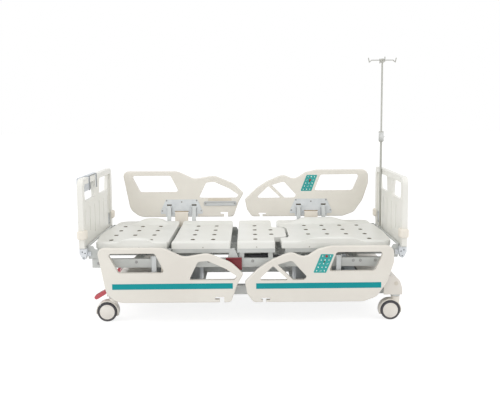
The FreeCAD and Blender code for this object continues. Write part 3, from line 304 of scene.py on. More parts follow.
def add_stem(corner, centre, stem_x):
    """The stem with its bearing washer above the neck, and the axle with its domed ends."""
    stem = turned([(tiny, 0.148), (0.0245, 0.148), (0.0258, 0.1495), (0.0258, 0.1512), (0.0245, 0.1518),
                   (0.014, 0.1518), (0.014, 0.199), (0.013, 0.2), (tiny, 0.2)],
                  (stem_x, centre[1], 0), (0, 0, 1))
    axle = turned([(tiny, -0.0355), (0.006, -0.035), (0.007, -0.034), (0.007, 0.034), (0.006, 0.035),
                   (tiny, 0.0355)], centre, (0, 1, 0), 24)
    add_piece("stem_" + corner, joined([stem, axle]), "fork_" + corner, bearing_steel)


for corner, stem_x, side in (("near_foot", -0.84, -1), ("far_foot", -0.84, 1), ("near_head", 0.979, -1),
                             ("far_head", 0.979, 1)):
    centre = (stem_x - trail, half_track * side, wheel_radius)
    add_wheels(corner, centre)
    add_hood(corner, centre, stem_x)
    add_fender(corner, centre)
    add_stem(corner, centre, stem_x)

# ---- Base frame
# Two long steel tubes on two cross tubes, welded and powder coated in light grey. The casters' stems
# run up through round sockets in the cross tubes, and a flat plate carries each lifting column.


def soft_edges(node, name, material, width, segments=3):
    """A copy of a CAD piece with its flat faces joined and its sharp edges rounded."""
    sharp = math.radians(32.0)
    mesh = frame["nodes"][node].data.copy()
    mesh.name = name
    work = bmesh.new()
    work.from_mesh(mesh)
    bmesh.ops.remove_doubles(work, verts=work.verts, dist=2e-6)
    bmesh.ops.dissolve_limit(work, angle_limit=math.radians(0.6), verts=work.verts, edges=work.edges)
    work.to_mesh(mesh)
    work.free()
    mesh.materials.clear()
    mesh.materials.append(material)
    mesh.polygons.foreach_set("use_smooth", np.full(len(mesh.polygons), True))
    mesh.set_sharp_from_angle(angle=sharp)
    piece = show(name, mesh, body_of_node[node])
    bevel = piece.modifiers.new("rounded", "BEVEL")
    bevel.width = width
    bevel.segments = segments
    bevel.limit_method = "ANGLE"
    bevel.angle_limit = sharp
    bevel.harden_normals = True
    bevel.use_clamp_overlap = True
    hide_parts(node)


frame_paint = moulded("frame_powder_coat", "CDCFCC", "C2C5C2", roughness=0.42, grain=420, depth=0.25,
                      cloud=9, dust=0.35)
# The base tubes get the deck's powder coat made lighter: painted light that brightens them in the shade
# under the bed.
base_coat_lightened = moulded("base_coat_painted_light", "DCDDDB", "D2D4D1", roughness=0.42, grain=420, depth=0.25,
                     cloud=9, dust=0.35)
soft_edges("base_frame", "base_tubes", base_coat_lightened, 0.003)

# ---- Base covers and control box
# Vacuum-formed cream hoods over both ends of the base, open below, and the flat pale blue housing
# of the control electronics beside the head column, clipped onto the base tubes.
cover_plastic = moulded("cover_plastic", "E6E1DA", "DFD9D0", roughness=0.45, dust=0.25)
soft_edges("base_covers", "end_covers", cover_plastic, 0.006, segments=4)


def rounded_corners(corners, steps=6):
    """Closed outline through corners (u, v, radius); each corner becomes an arc about its own centre."""
    outline = []
    for i, (u, v, radius) in enumerate(corners):
        corner = np.array([u, v], float)
        before = np.array(corners[i - 1][:2], float) - corner
        after = np.array(corners[(i + 1) % len(corners)][:2], float) - corner
        before /= np.linalg.norm(before)
        after /= np.linalg.norm(after)
        half = math.acos(np.clip(before @ after, -1, 1)) / 2
        bisector = (before + after) / np.linalg.norm(before + after)
        centre = corner + bisector * radius / math.sin(half)
        start = corner + before * radius / math.tan(half) - centre
        end = corner + after * radius / math.tan(half) - centre
        angle = math.pi - 2 * half
        t = np.linspace(0, 1, steps)[:, None]
        arc = (np.sin((1 - t) * angle) * start + np.sin(t * angle) * end) / math.sin(angle)
        outline.append(centre + arc)
    return np.concatenate(outline)


def rounded_box(left, low, right, high, radius, steps=6):
    """Closed outline of an upright rectangle with round corners."""
    return rounded_corners([(left, low, radius), (right, low, radius), (right, high, radius),
                            (left, high, radius)], steps)


def pad(outline, levels):
    """A closed low plate: the outline is drawn in and lifted ring by ring, each ring (inset, height)."""
    outline = np.asarray(outline, float)
    following, leading = np.roll(outline, -1, 0), np.roll(outline, 1, 0)
    along = following - leading
    along /= np.linalg.norm(along, axis=1)[:, None]
    area = np.sum(outline[:, 0] * following[:, 1] - following[:, 0] * outline[:, 1])
    inward = np.stack([-along[:, 1], along[:, 0]], -1) * (1 if area > 0 else -1)
    count = len(outline)
    middle = np.broadcast_to(outline.mean(0), (count, 2))
    flat = [(middle, levels[0][1])] + [(outline + inward * inset, h) for inset, h in levels]
    flat.append((middle, levels[-1][1]))
    points = np.concatenate([np.concatenate([ring, np.full((count, 1), h)], 1) for ring, h in flat])
    return points, grid_faces(len(flat), count)


def on_face(points, origin, across, up, out):
    """Local points (across, up, out) laid on a face of the bed."""
    basis = np.array([across, up, out], float)
    return np.array(origin, float) + np.asarray(points).reshape(-1, 3) @ basis


def pad_on(outline, levels, origin, across, up, out):
    """A pad laid on a face of the bed: its outline runs across and up, and its heights run out."""
    points, faces = pad(outline, levels)
    return on_face(points, origin, across, up, out), faces


def screw(place, out, radius=0.006):
    """A pan head screw: a domed rim that turns in to a round socket."""
    profile = [(tiny, 0), (radius, 0), (radius, 0.0006), (radius * 0.88, 0.0017), (radius * 0.55, 0.0022),
               (radius * 0.45, 0.0021), (radius * 0.42, 0.0007), (tiny, 0.0006)]
    return turned(profile, place, out, 24)


# One dark finish serves the real dark plastic parts and also the painted shade of slots and holes.
dark_plastic = moulded("dark_plastic", "3A3B3E", "2F3033", roughness=0.5)
cap_plastic = moulded("cap_plastic", "DAD3C7", "D0C9BC", roughness=0.4)
# A ringed cap on each side face of the covers hides a screw; two dark vents lie on the head cover.
cap_profile = [(tiny, -0.0004), (0.013, -0.0004), (0.013, 0.0016), (0.0118, 0.0026), (0.0105, 0.0026),
               (0.0098, 0.0014), (0.0090, 0.0014), (0.0080, 0.0022), (tiny, 0.0024)]
cover_half_width = 0.44
caps = [turned(cap_profile, (x, cover_half_width * side, z), (0, side, 0), 40)
        for x, z in ((0.977, 0.238), (-0.83, 0.215)) for side in (1, -1)]
add_piece("cover_caps", joined(caps), "base", cap_plastic)
vent_profile = [(tiny, 0), (0.0085, 0), (0.0085, 0.0012), (0.007, 0.0018), (0.0055, 0.0006), (tiny, 0.0004)]
vents = [turned(vent_profile, (x, -0.1165, 0.286), (0, 0, 1), 32) for x in (0.845, 0.873)]
add_piece("cover_vents", joined(vents), "base", dark_plastic)
box_plastic = moulded("control_box_plastic", "C3CCD6", "B9C3CE", roughness=0.45, dust=0.2)
soft_edges("control_box", "control_housing", box_plastic, 0.003)
# Cooling slots in the top of the housing, drawn as a row of dark rounded bars of painted shade.
housing_top, slot_pitch, slot_half = 0.284, 0.015, 0.0025
slots = []
for number in range(9):
    y = -0.06 + number * slot_pitch
    outline = rounded_box(0.690, y - slot_half, 0.740, y + slot_half, 0.0024)
    slots.append(pad_on(outline, [(0, 0), (0, 0.0003), (0.0006, 0.0006)], (0, 0, housing_top),
                        (1, 0, 0), (0, 1, 0), (0, 0, 1)))
add_piece("control_slots", joined(slots), "base", dark_plastic, smooth=False)

# ---- Brake pedals
# A round bar across the foot end, with a broad red steel pedal at each end under a ribbed grip.
pedal_paint = moulded("pedal_paint", "C4505A", "B5434D", roughness=0.38, grain=500, depth=0.2,
                      dust=0.25, coat=0.2)
soft_edges("brake_pedals", "brake_bar", pedal_paint, 0.003)
grip_red = moulded("pedal_grip", "A93D48", "9A343F", roughness=0.6, grain=500, depth=0.3, dust=0.3)
slope = math.radians(31.0)
along = np.array([-math.cos(slope), 0, -math.sin(slope)])
lifted = np.array([-math.sin(slope), 0, math.cos(slope)])
rib_half, rib_length, rib_pitch, grip_height = 0.0022, 0.021, 0.009, 0.0128
for side in (1, -1):
    ribs = []
    for number in range(6):
        pedal_root = np.array([-0.893, half_track * side, 0.187])
        place = pedal_root + along * (0.014 + number * rib_pitch) + lifted * grip_height
        outline = rounded_box(-rib_half, -rib_length, rib_half, rib_length, 0.002)
        ribs.append(pad_on(outline, [(0, -0.0005), (0, 0.0006), (0.0010, 0.0014)], place,
                           along, (0, 1, 0), lifted))
    add_piece("pedal_ribs_" + ("far" if side > 0 else "near"), joined(ribs), "brake", grip_red)

# ---- Lifting columns
# Three nested aluminium extrusions at each end, anodised, with fine drawing marks along their length.


def drawn_metal_group():
    """Drawn or brushed metal: noise stretched along one axis tints the colour, gloss and normal."""
    group, into, out = make_group(
        "drawn_metal",
        [("Colour", "colour", None), ("Shade", "colour", None), ("Stretch", "vector", (400.0, 400.0, 4.0)),
         ("Roughness", "value", 0.3), ("Roughness Spread", "value", 0.15), ("Depth", "value", 0.15)],
        [("Colour", "colour"), ("Roughness", "value"), ("Normal", "vector")])
    where = put(group, "TexCoord").outputs["Object"]
    scaled = put(group, "VectorMath", {0: where, 1: into.outputs["Stretch"]}, operation="MULTIPLY")
    lines = put(group, "TexNoise", {"Vector": scaled.outputs[0], "Scale": 1.0, "Detail": 3.0})
    cloud = put(group, "TexNoise", {"Vector": where, "Scale": 11.0, "Detail": 3.0})
    both = maths(group, "MULTIPLY", lines.outputs["Fac"], cloud.outputs["Fac"])
    spread = put(group, "MapRange", {"Value": both, "From Min": 0.12, "From Max": 0.42})
    blend = put(group, "Mix", {0: spread.outputs["Result"], 6: into.outputs["Colour"],
                               7: into.outputs["Shade"]}, data_type="RGBA")
    uneven = maths(group, "MULTIPLY_ADD", maths(group, "SUBTRACT", lines.outputs["Fac"], 0.5),
                   into.outputs["Roughness Spread"], into.outputs["Roughness"])
    bump = put(group, "Bump", {"Height": lines.outputs["Fac"], "Strength": into.outputs["Depth"],
                               "Distance": 0.0002})
    group.links.new(blend.outputs[2], out.inputs["Colour"])
    group.links.new(uneven, out.inputs["Roughness"])
    group.links.new(bump.outputs["Normal"], out.inputs["Normal"])
    return group


drawn_metal = drawn_metal_group()


def bare_metal(name, colour, shade, roughness, stretch, depth=0.15, metallic=1.0):
    """A bare or anodised metal built on the drawn metal group."""
    return finish(name, drawn_metal, Colour=tone(colour), Shade=tone(shade), Stretch=stretch,
                  Roughness=roughness, Roughness_Spread=0.15, Depth=depth, metallic=metallic)


def collar(outline, levels):
    """A closed ring: the outline is drawn in and lifted level by level, and the last meets the first."""
    outline = np.asarray(outline, float)
    along = np.roll(outline, -1, 0) - np.roll(outline, 1, 0)
    along /= np.linalg.norm(along, axis=1)[:, None]
    inward = np.stack([-along[:, 1], along[:, 0]], -1)
    rings = [np.concatenate([outline + inward * inset, np.full((len(outline), 1), height)], 1)
             for inset, height in levels]
    rings.append(rings[0])
    return np.concatenate(rings), grid_faces(len(rings), len(outline))


zinc = bare_metal("zinc_screws", "ABABA9", "929290", 0.4, (200.0, 200.0, 200.0), metallic=0.6)
column_metal = bare_metal("anodised_column", "C9CCCE", "B9BDC0", 0.42, (600.0, 600.0, 3.0), metallic=0.6)
for node in ("column_outers", "foot_column_middle", "foot_column_inner", "head_column_middle",
             "head_column_inner"):
    soft_edges(node, "lift_" + node, column_metal, 0.0012, segments=2)
# A dark wiper ring closes the gap at the top of the outer and the middle stage of each column.
column_half_x, column_half_y, column_corner, stage_step = 0.1635, 0.1, 0.018, 0.0053
for end, x, body in (("foot", -0.45, "foot_middle"), ("head", 0.507, "head_middle")):
    for rider, shrink, z in (("base", 0.0, 0.3452), (body, stage_step, 0.3502)):
        a, b, radius = column_half_x - shrink, column_half_y - shrink, column_corner - shrink
        ring = collar(rounded_box(x - a, -b, x + a, b, radius),
                      [(0.0004, z - 0.0006), (0.0004, z + 0.0012), (0.0012, z + 0.0020),
                       (0.0040, z + 0.0020), (0.0046, z + 0.0014), (0.0046, z - 0.0006)])
        add_piece(f"wiper_{end}_{rider}", ring, rider, dark_plastic, smooth=False)
bright_steel = bare_metal("bright_steel", "B4B6BA", "95989E", 0.25, (40.0, 40.0, 3.0))
soft_edges("foot_pivot_pin", "lift_pin", bright_steel, 0.0008, segments=2)

# ---- Deck frame and corner castings
# The welded upper frame: side tubes, inner beams, cross tubes and end bars in light grey powder coat.
# A silver casting is bolted to each corner and takes the peg of a board.
soft_edges("deck_frame", "deck_tubes", frame_paint, 0.002, segments=2)
cast_silver = bare_metal("cast_silver", "D6D9DC", "C3C7CB", 0.4, (90.0, 90.0, 90.0), metallic=0.5)
soft_edges("corner_brackets", "corner_castings", cast_silver, 0.002)


def hex_bolt(place, out, radius=0.0065):
    """A washer under a six-sided head with a bevelled top."""
    washer = turned([(tiny, -0.0003), (radius * 1.5, -0.0003), (radius * 1.5, 0.0012),
                     (radius * 1.4, 0.0016), (tiny, 0.0016)], place, out, 28)
    head = turned([(tiny, 0.0015), (radius, 0.0015), (radius, 0.0048), (radius * 0.86, 0.0056),
                   (tiny, 0.0056)], place, out, 6)
    return joined([washer, head])


# Bolts along the side tubes, and dark discs of painted shade in the three holes of each casting.
tube_face, casting_face, casting_x = 0.445, 0.4776, 1.015
bolt_spots = [(-0.92, 0.382), (-0.86, 0.382), (-0.68, 0.390), (-0.31, 0.375), (-0.22, 0.392),
              (-0.165, 0.375), (0.06, 0.392), (0.215, 0.380), (0.33, 0.392), (0.70, 0.392),
              (0.745, 0.392), (0.84, 0.392)]
bolts = [hex_bolt((x, tube_face * side, z), (0, side, 0)) for side in (1, -1) for x, z in bolt_spots]
add_piece("tube_bolts", joined(bolts), "deck", zinc, smooth=False)
hole_shade_profile = [(tiny, 0), (0.0037, 0), (0.0037, 0.0008), (0.0030, 0.0012), (tiny, 0.0010)]
plugs_and_hole_shades = [turned(hole_shade_profile, (sign * (casting_x - dx), casting_face * side, z), (0, side, 0), 20)
         for side in (1, -1) for sign in (1, -1)
         for dx, z in ((0.002, 0.4637), (0.020, 0.4557), (0.012, 0.4257))]
add_piece("casting_hole_shades", joined(plugs_and_hole_shades), "deck", dark_plastic)
# A pressed gusset stands on the end of each side tube and reaches up to the board's post.
gusset_corners = [(0.900, 0.4102, 0.003), (0.984, 0.4102, 0.003), (0.984, 0.494, 0.006),
                  (0.953, 0.494, 0.008), (0.942, 0.472, 0.008), (0.900, 0.470, 0.008)]
gussets = []
for side in (1, -1):
    for sign in (1, -1):
        outline = rounded_corners([(sign * x, z, radius) for x, z, radius in gusset_corners])
        gussets.append(pad_on(outline, [(0, 0), (0, 0.003), (0.0006, 0.0035)], (0, 0.4335 * side, 0),
                              (1, 0, 0), (0, 0, 1), (0, side, 0)))
add_piece("end_gussets", joined(gussets), "deck", frame_paint, smooth=False)

# ---- Drives under the lying surface
# Two linear actuators in grey plastic push the backrest and the knee section over steel rods.
# The backrest's hinge pins ride on a small carriage, and a black corrugated duct guards the leads.
actuator_grey = moulded("actuator_plastic", "4C4E52", "434549", roughness=0.5, grain=500, depth=0.3)
soft_edges("actuator_housings", "drive_housings", actuator_grey, 0.003)
for node in ("back_push_rod", "knee_push_rod"):
    soft_edges(node, "drive_" + node, bright_steel, 0.001, segments=2)
soft_edges("back_carriage", "hinge_carriage", frame_paint, 0.002, segments=2)
duct_black = moulded("duct_plastic", "26272B", "2E2F34", roughness=0.5, grain=500)
soft_edges("cable_conduit", "lead_duct", duct_black, 0.0006, segments=2)
release_red = moulded("release_plate_red", "781923", "6B141E", roughness=0.45, coat=0.1)
soft_edges("cpr_handle", "release_plate", release_red, 0.001, segments=2)

# ---- Section frames
# The tubular frames that carry the moving parts of the lying surface, in the same powder coat.
for node in ("back_frame", "thigh_frame", "leg_frame"):
    soft_edges(node, "tubes_" + node, frame_paint, 0.002, segments=2)

# ---- Lying surface
# Four injection-moulded panels in near white, with rounded rims, oval vents and, on the back and leg
# parts, a raised edge at each side that keeps the mattress in place. They clip onto the frames.
surface_plastic = moulded("surface_plastic", "E9E9E4", "E2E2DC", roughness=0.38, grain=600, depth=0.12,
                          cloud=4)
for node in ("leg_panel", "thigh_panel", "seat_panel", "back_panel"):
    soft_edges(node, "surface_" + node, surface_plastic, 0.002, segments=2)
# Each vent is drawn as a dark olive wall of painted shade with a narrow lip, pressed in from above.
vent_olive = moulded("vent_painted_shade", "8C887A", "7F7B6D", roughness=0.6)
four_rows, tray_floor = (-0.281, -0.094, 0.094, 0.281), 0.503
vent_half_x, vent_half_y, lip = 0.0125, 0.020, 0.0017
vents_of = {"leg_panel": [(x, y) for x in (-0.607, -0.738, -0.866) for y in four_rows],
            "thigh_panel": [(x, y) for x in (-0.331, -0.198) for y in four_rows],
            "seat_panel": [(0.079, y) for y in four_rows] + [(0.190, y) for y in (-0.092, 0.092)],
            "back_panel": [(x, y) for x in (0.441, 0.570, 0.700, 0.827) for y in four_rows]}
vent_shade_wall = [(0, tray_floor - 0.0002), (0, tray_floor + 0.0004), (0.0006, tray_floor + 0.0009),
          (lip + 0.0008, tray_floor + 0.0004), (lip + 0.0012, tray_floor - 0.012),
          (lip + 0.0002, tray_floor - 0.012), (lip + 0.0002, tray_floor - 0.0002)]
for node, vents in vents_of.items():
    a, b = vent_half_x + lip, vent_half_y + lip
    vent_shade_walls = [collar(rounded_box(x - a, y - b, x + a, y + b, a - 0.0002), vent_shade_wall) for x, y in vents]
    add_piece("vents_" + node, joined(vent_shade_walls), body_of_node[node], vent_olive, smooth=False)
# Small plugs close the moulding holes in the side walls of the panels.
plug_grey = moulded("wall_plug", "B9B7AF", "ADABA2", roughness=0.5)
panel_half_width, wall_middle = 0.45, 0.482
wall_plug = [(tiny, -0.0004), (0.0042, -0.0004), (0.0042, 0.0006), (0.0034, 0.0012), (tiny, 0.0010)]
for node, places in (("leg_panel", (-0.66,)), ("thigh_panel", (-0.255,)), ("seat_panel", (0.085,)),
                     ("back_panel", (0.42, 0.80))):
    plugs_and_hole_shades = [turned(wall_plug, (x, panel_half_width * side, wall_middle), (0, side, 0), 24)
             for x in places for side in (1, -1)]
    add_piece("wall_plugs_" + node, joined(plugs_and_hole_shades), body_of_node[node], plug_grey)

# ---- Side rails
# Four blow-moulded rails in warm cream, each with grip windows. A silver steel plate is screwed to
# the inner face and hangs on two flat arms and a wide cream centre link.
rail_plastic = moulded("rail_plastic", "E5E1D8", "DED9D0", roughness=0.4, grain=650, depth=0.12, cloud=3)
link_plastic = moulded("link_plastic", "E4DDD2", "DBD3C6", roughness=0.45)
plate_steel = bare_metal("plate_steel", "DADDDF", "CBCFD2", 0.45, (30.0, 500.0, 30.0), metallic=0.3)
arm_steel = bare_metal("arm_steel", "D0D3D3", "C4C7C7", 0.45, (30.0, 30.0, 6.0), metallic=0.3)
for side in ("near", "far"):
    for end in ("foot", "head"):
        spot = side + "_" + end
        soft_edges("rail_panel_" + spot, "rail_" + spot, rail_plastic, 0.0035, segments=4)
        soft_edges("rail_plate_" + spot, "mount_plate_" + spot, plate_steel, 0.0008,
                   segments=2)
        soft_edges("rail_arms_" + spot, "swing_arms_" + spot, arm_steel, 0.0012, segments=2)
        soft_edges("rail_link_" + spot, "centre_link_" + spot, link_plastic, 0.002)


teal_film = moulded("teal_film", "0A969B", "088F95", roughness=0.45, grain=300, depth=0.04, cloud=2,
                    specular=0.2)
keypad_teal = moulded("keypad_teal", "3CA6A2", "349C99", roughness=0.4, grain=300, depth=0.04, cloud=5,
                      specular=0.3)
icon_white = moulded("icon_ink", "F1F5F3", "E4ECEA", roughness=0.5, grain=900, depth=0.05)
recess_tan = moulded("recess_shade", "D9D0C1", "D0C7B7", roughness=0.6)
bar_steel = bare_metal("accessory_bar_steel", "C6C8C8", "B8BABB", 0.45, (6.0, 300.0, 300.0), metallic=0.3)
buffer_brown = moulded("buffer_rubber", "AD9A80", "9E8B72", roughness=0.7)
slot_brown = moulded("slot_shade", "57503F", "4A4436", roughness=0.6)
button_red = moulded("button_red", "93292F", "842228", roughness=0.3, coat=0.3)

keypad_corners = {"inner": np.array([(0.478, 0.857), (0.559, 0.857), (0.514, 0.735), (0.431, 0.735)]),
                  "outer": np.array([(0.486, 0.847), (0.567, 0.846), (0.518, 0.728), (0.438, 0.729)])}


def keypad_spot(face, u, v):
    """A place on a slanted keypad, u from left to right and v from top to bottom."""
    corners = keypad_corners[face]
    top = corners[0] + u * (corners[1] - corners[0])
    low = corners[3] + u * (corners[2] - corners[3])
    return top + v * (low - top)


def icon_shapes(size):
    """Small signs as polygons: an arrow up, an arrow down, a bent bed and a lamp ring of eight sides."""
    ring = np.linspace(0, 2 * np.pi, 9)[:8]
    circle = np.stack([np.cos(ring), np.sin(ring)], -1)
    arrow = np.array([(-0.55, 0.1), (0.55, 0.1), (0, 0.85)])
    stem = np.array([(-0.2, -0.7), (0.2, -0.7), (0.2, 0.1), (-0.2, 0.1)])
    bed = [np.array([(-0.9, -0.5), (0.1, -0.5), (0.1, -0.2), (-0.9, -0.2)]),
           np.array([(0.1, -0.5), (0.95, 0.4), (0.75, 0.6), (0.0, -0.2)])]
    flip = np.array([1, -1])
    return [[arrow * size, stem * size], [arrow[::-1] * flip * size, stem[::-1] * flip * size],
            [b * size for b in bed], [circle * size * 0.6]]


def plate_trim(spot, mid, drop, sign):
    """What lies on the inner face of one mounting plate: screws, openings and seams drawn as painted shade,
    and the rubber buffer.
    """
    plate_face, opening_half, fold_half, buffer_half = 0.4877, 0.018, 0.0007, 0.054
    y, out, body = plate_face * sign, (0, -sign, 0), "rail_" + spot
    on_plate = ((0, y, drop), (1, 0, 0), (0, 0, 1), out)
    heads = [screw((mid + dx, y, z + drop), out) for dx, z in
             ((-0.114, 0.668), (0.114, 0.668), (0, 0.657), (-0.148, 0.590), (0.148, 0.590))]
    add_piece("plate_screws_" + spot, joined(heads), body, zinc)
    # Two openings stand above the swing arms, and four folds run down beside them, both drawn as dark pads
    # of painted shade.
    slots = []
    for dx in (-0.094, 0.094):
        outline = rounded_box(mid + dx - opening_half, 0.629, mid + dx + opening_half, 0.639, 0.003)
        slots.append(pad_on(outline, [(0, 0), (0, 0.0006), (0.0008, 0.001)], *on_plate))
    for dx in (-0.1115, -0.0765, 0.0765, 0.1115):
        outline = rounded_box(mid + dx - fold_half, 0.552, mid + dx + fold_half, 0.640, 0.0003, 2)
        slots.append(pad_on(outline, [(0, 0), (0, 0.0004), (0.0002, 0.0005)], *on_plate))
    add_piece("plate_slots_" + spot, joined(slots), body, slot_brown)
    # The buffer is a brown rubber strip on the plate above the centre link.
    outline = rounded_box(mid - buffer_half, 0.581, mid + buffer_half, 0.588, 0.002)
    strip = pad_on(outline, [(0, -0.0002), (0, 0.0014), (0.0010, 0.0022)], *on_plate)
    add_piece("link_buffer_" + spot, strip, body, buffer_brown)


def accessory_bar(side, y, drop, out):
    """A rounded steel channel on the inner face of a foot rail, its screws, and the recess above it."""
    body, on_rail = f"rail_{side}_foot", ((0, y, drop), (1, 0, 0), (0, 0, 1), out)
    left, low, right, high, inset = -0.303, 0.626, -0.055, 0.661, 0.014
    bar = pad_on(rounded_box(left, low, right, high, 0.012),
                 [(0, 0), (0, 0.0035), (0.0012, 0.005), (0.006, 0.0052), (0.0075, 0.0032), (0.012, 0.003)],
                 *on_rail)
    add_piece("accessory_bar_" + side, bar, body, bar_steel)
    heads = [screw((x, y + out[1] * 0.003, (low + high) / 2 + drop), out, 0.0065)
             for x in (left + inset, right - inset)]
    add_piece("bar_screws_" + side, joined(heads), body, zinc)
    # The recess above the bar is a tan pad of painted shade.
    outline = rounded_corners([(-0.270, 0.6625, 0.004), (-0.092, 0.6625, 0.004), (-0.092, 0.684, 0.006),
                               (-0.270, 0.684, 0.006)])
    recess = pad_on(outline, [(0, -0.0002), (0, 0.0002), (0.0012, 0.0005)], *on_rail)
    add_piece("bar_recess_" + side, recess, body, recess_tan, smooth=False)


def keypad(side, face, y, drop, out):
    """One keypad of a head rail: a slanted plate, raised keys with white signs, a call button and a lamp."""
    name, body = f"{side}_{face}", f"rail_{side}_head"
    on_rail = ((0, y, drop), (1, 0, 0), (0, 0, 1), out)
    columns, rows = (0.2, 0.5, 0.8), (0.11, 0.31, 0.51, 0.70, 0.89)
    plate_top, ink_height, sign_size = 0.0009, 0.00175, 0.0066
    call_row = 0 if face == "outer" else 1

    def knob(u, v, profile, steps):
        x, z = keypad_spot(face, u, v)
        return turned(profile, (x, y + out[1] * plate_top, z + drop), out, steps)

    outline = rounded_corners([(x, z, 0.005) for x, z in keypad_corners[face]])
    plate = pad_on(outline, [(0, 0), (0, 0.0006), (0.0008, 0.001)], *on_rail)
    add_piece("keypad_" + name, plate, body, keypad_teal, smooth=False)
    key_profile = [(tiny, 0), (0.0092, 0), (0.009, 0.0004), (0.0083, 0.0006), (tiny, 0.0007)]
    keys, signs, sign_faces = [], [], []
    for row, v in enumerate(rows):
        for column, u in enumerate(columns):
            if row == call_row and column == 1:
                continue
            keys.append(knob(u, v, key_profile, 28))
            spot = keypad_spot(face, u, v)
            for shape in icon_shapes(sign_size)[(row + column * 2 + (face == "inner")) % 4]:
                start = sum(len(points) for points in signs)
                flat = np.concatenate([shape + spot, np.full((len(shape), 1), ink_height)], 1)
                signs.append(on_face(flat, *on_rail))
                sign_faces.append(list(range(start, start + len(shape))))
    add_piece("keypad_keys_" + name, joined(keys), body, keypad_teal)
    mesh = bpy.data.meshes.new("keypad_signs")
    mesh.from_pydata(np.concatenate(signs).tolist(), [], sign_faces)
    mesh.materials.append(icon_white)
    ink = show("keypad_signs_" + name, mesh, body).modifiers.new("ink", "SOLIDIFY")
    ink.thickness, ink.offset = 0.0002, 0.0
    dome = [(tiny, 0), (0.0085, 0), (0.0085, 0.0008), (0.0075, 0.0017), (0.0045, 0.0024), (tiny, 0.0026)]
    add_piece("call_button_" + name, knob(0.5, rows[call_row], dome, 32), body, button_red)
    lamp = [(tiny, 0), (0.0055, 0), (0.0050, 0.0009), (tiny, 0.0012)]
    add_piece("lock_lamp_" + name, knob(0.5, 0.405, lamp, 24), body, slot_brown)


# The near rails hang 0.398 m lower than the far ones. The stripe is a teal film, 36 mm high, with a
# rounded edge, and the keypads lie on both faces of the head rails.
outer_face, inner_face, lowered = 0.526, 0.492, -0.398
for side, sign, drop in (("near", -1, lowered), ("far", 1, 0.0)):
    for end, x0, x1, mid in (("foot", -0.823, -0.066, -0.471), ("head", 0.080, 0.865, 0.510)):
        outline = rounded_corners([(x0, 0.628, 0.002), (x1, 0.630, 0.002), (x1, 0.666, 0.002),
                                   (x0, 0.664, 0.002)])
        film = pad_on(outline, [(0, 0), (0, 0.0003), (0.0006, 0.0006)], (0, outer_face * sign, drop),
                      (1, 0, 0), (0, 0, 1), (0, sign, 0))
        add_piece(f"stripe_{side}_{end}", film, f"rail_{side}_{end}", teal_film, smooth=False)
        plate_trim(f"{side}_{end}", mid, drop, sign)
    accessory_bar(side, inner_face * sign, drop, (0, -sign, 0))
    keypad(side, "outer", outer_face * sign, drop, (0, sign, 0))
    keypad(side, "inner", inner_face * sign, drop, (0, -sign, 0))

# ---- Head and foot boards
# Blow-moulded boards in near white with two grip windows and six grooves, lifted off by their pegs.
# A soft round bumper guards the outer edge of each post.
board_plastic = moulded("board_plastic", "ECEBE5", "E6E5DE", roughness=0.38, grain=650, depth=0.12, cloud=4)
bumper_plastic = moulded("bumper_plastic", "EBE5DA", "E3DCCF", roughness=0.5)
for end in ("head", "foot"):
    soft_edges(end + "_board", "board_" + end, board_plastic, 0.009, segments=5)
    soft_edges(end + "_bumpers", "bumpers_" + end, bumper_plastic, 0.002)
nurse_plastic = moulded("nurse_panel_plastic", "D5D9DE", "CBD0D6", roughness=0.4)
soft_edges("nurse_panel", "nurse_controls", nurse_plastic, 0.003)

groove_tan = moulded("groove_shade", "A39878", "978C6E", roughness=0.65)
strip_steel = bare_metal("latch_steel", "C3C7CC", "AEB3B9", 0.3, (300.0, 300.0, 6.0))
inner_board, outer_board, groove_depth, groove_pitch, groove_half = 1.011, 1.031, 0.0038, 0.149, 0.0038
for end, sign in (("head", 1), ("foot", -1)):
    body = end + "_board"
    # Groove floors: a warm strip of painted shade at the bottom of each groove, on both faces.
    strips = []
    for number, low in ((0.5, 0.530), (1.5, 0.562), (2.5, 0.622)):
        for half in (-1, 1):
            for x, out in ((inner_board + groove_depth, -sign), (outer_board - groove_depth, sign)):
                y = half * number * groove_pitch
                outline = rounded_box(y - groove_half, low, y + groove_half, 0.722, 0.002, 3)
                strips.append(pad_on(outline, [(0, 0), (0, 0.0002), (0.0015, 0.0006)], (sign * x, 0, 0),
                                     (0, 1, 0), (0, 0, 1), (out, 0, 0)))
    add_piece("grooves_" + end, joined(strips), body, groove_tan)
    # Latch strips: a steel strip with two screws on the inner face beside each post.
    for side, y in (("near", -0.405), ("far", 0.405)):
        strip = pad_on(rounded_box(y - 0.013, 0.505, y + 0.013, 0.592, 0.006),
                       [(0, -0.0002), (0, 0.002), (0.001, 0.003)], (sign * inner_board, 0, 0),
                       (0, 1, 0), (0, 0, 1), (-sign, 0, 0))
        add_piece(f"latch_strip_{end}_{side}", strip, body, strip_steel)
        heads = [screw((sign * (inner_board - 0.003), y, z), (-sign, 0, 0), 0.005) for z in (0.517, 0.580)]
        add_piece(f"latch_screws_{end}_{side}", joined(heads), body, zinc)

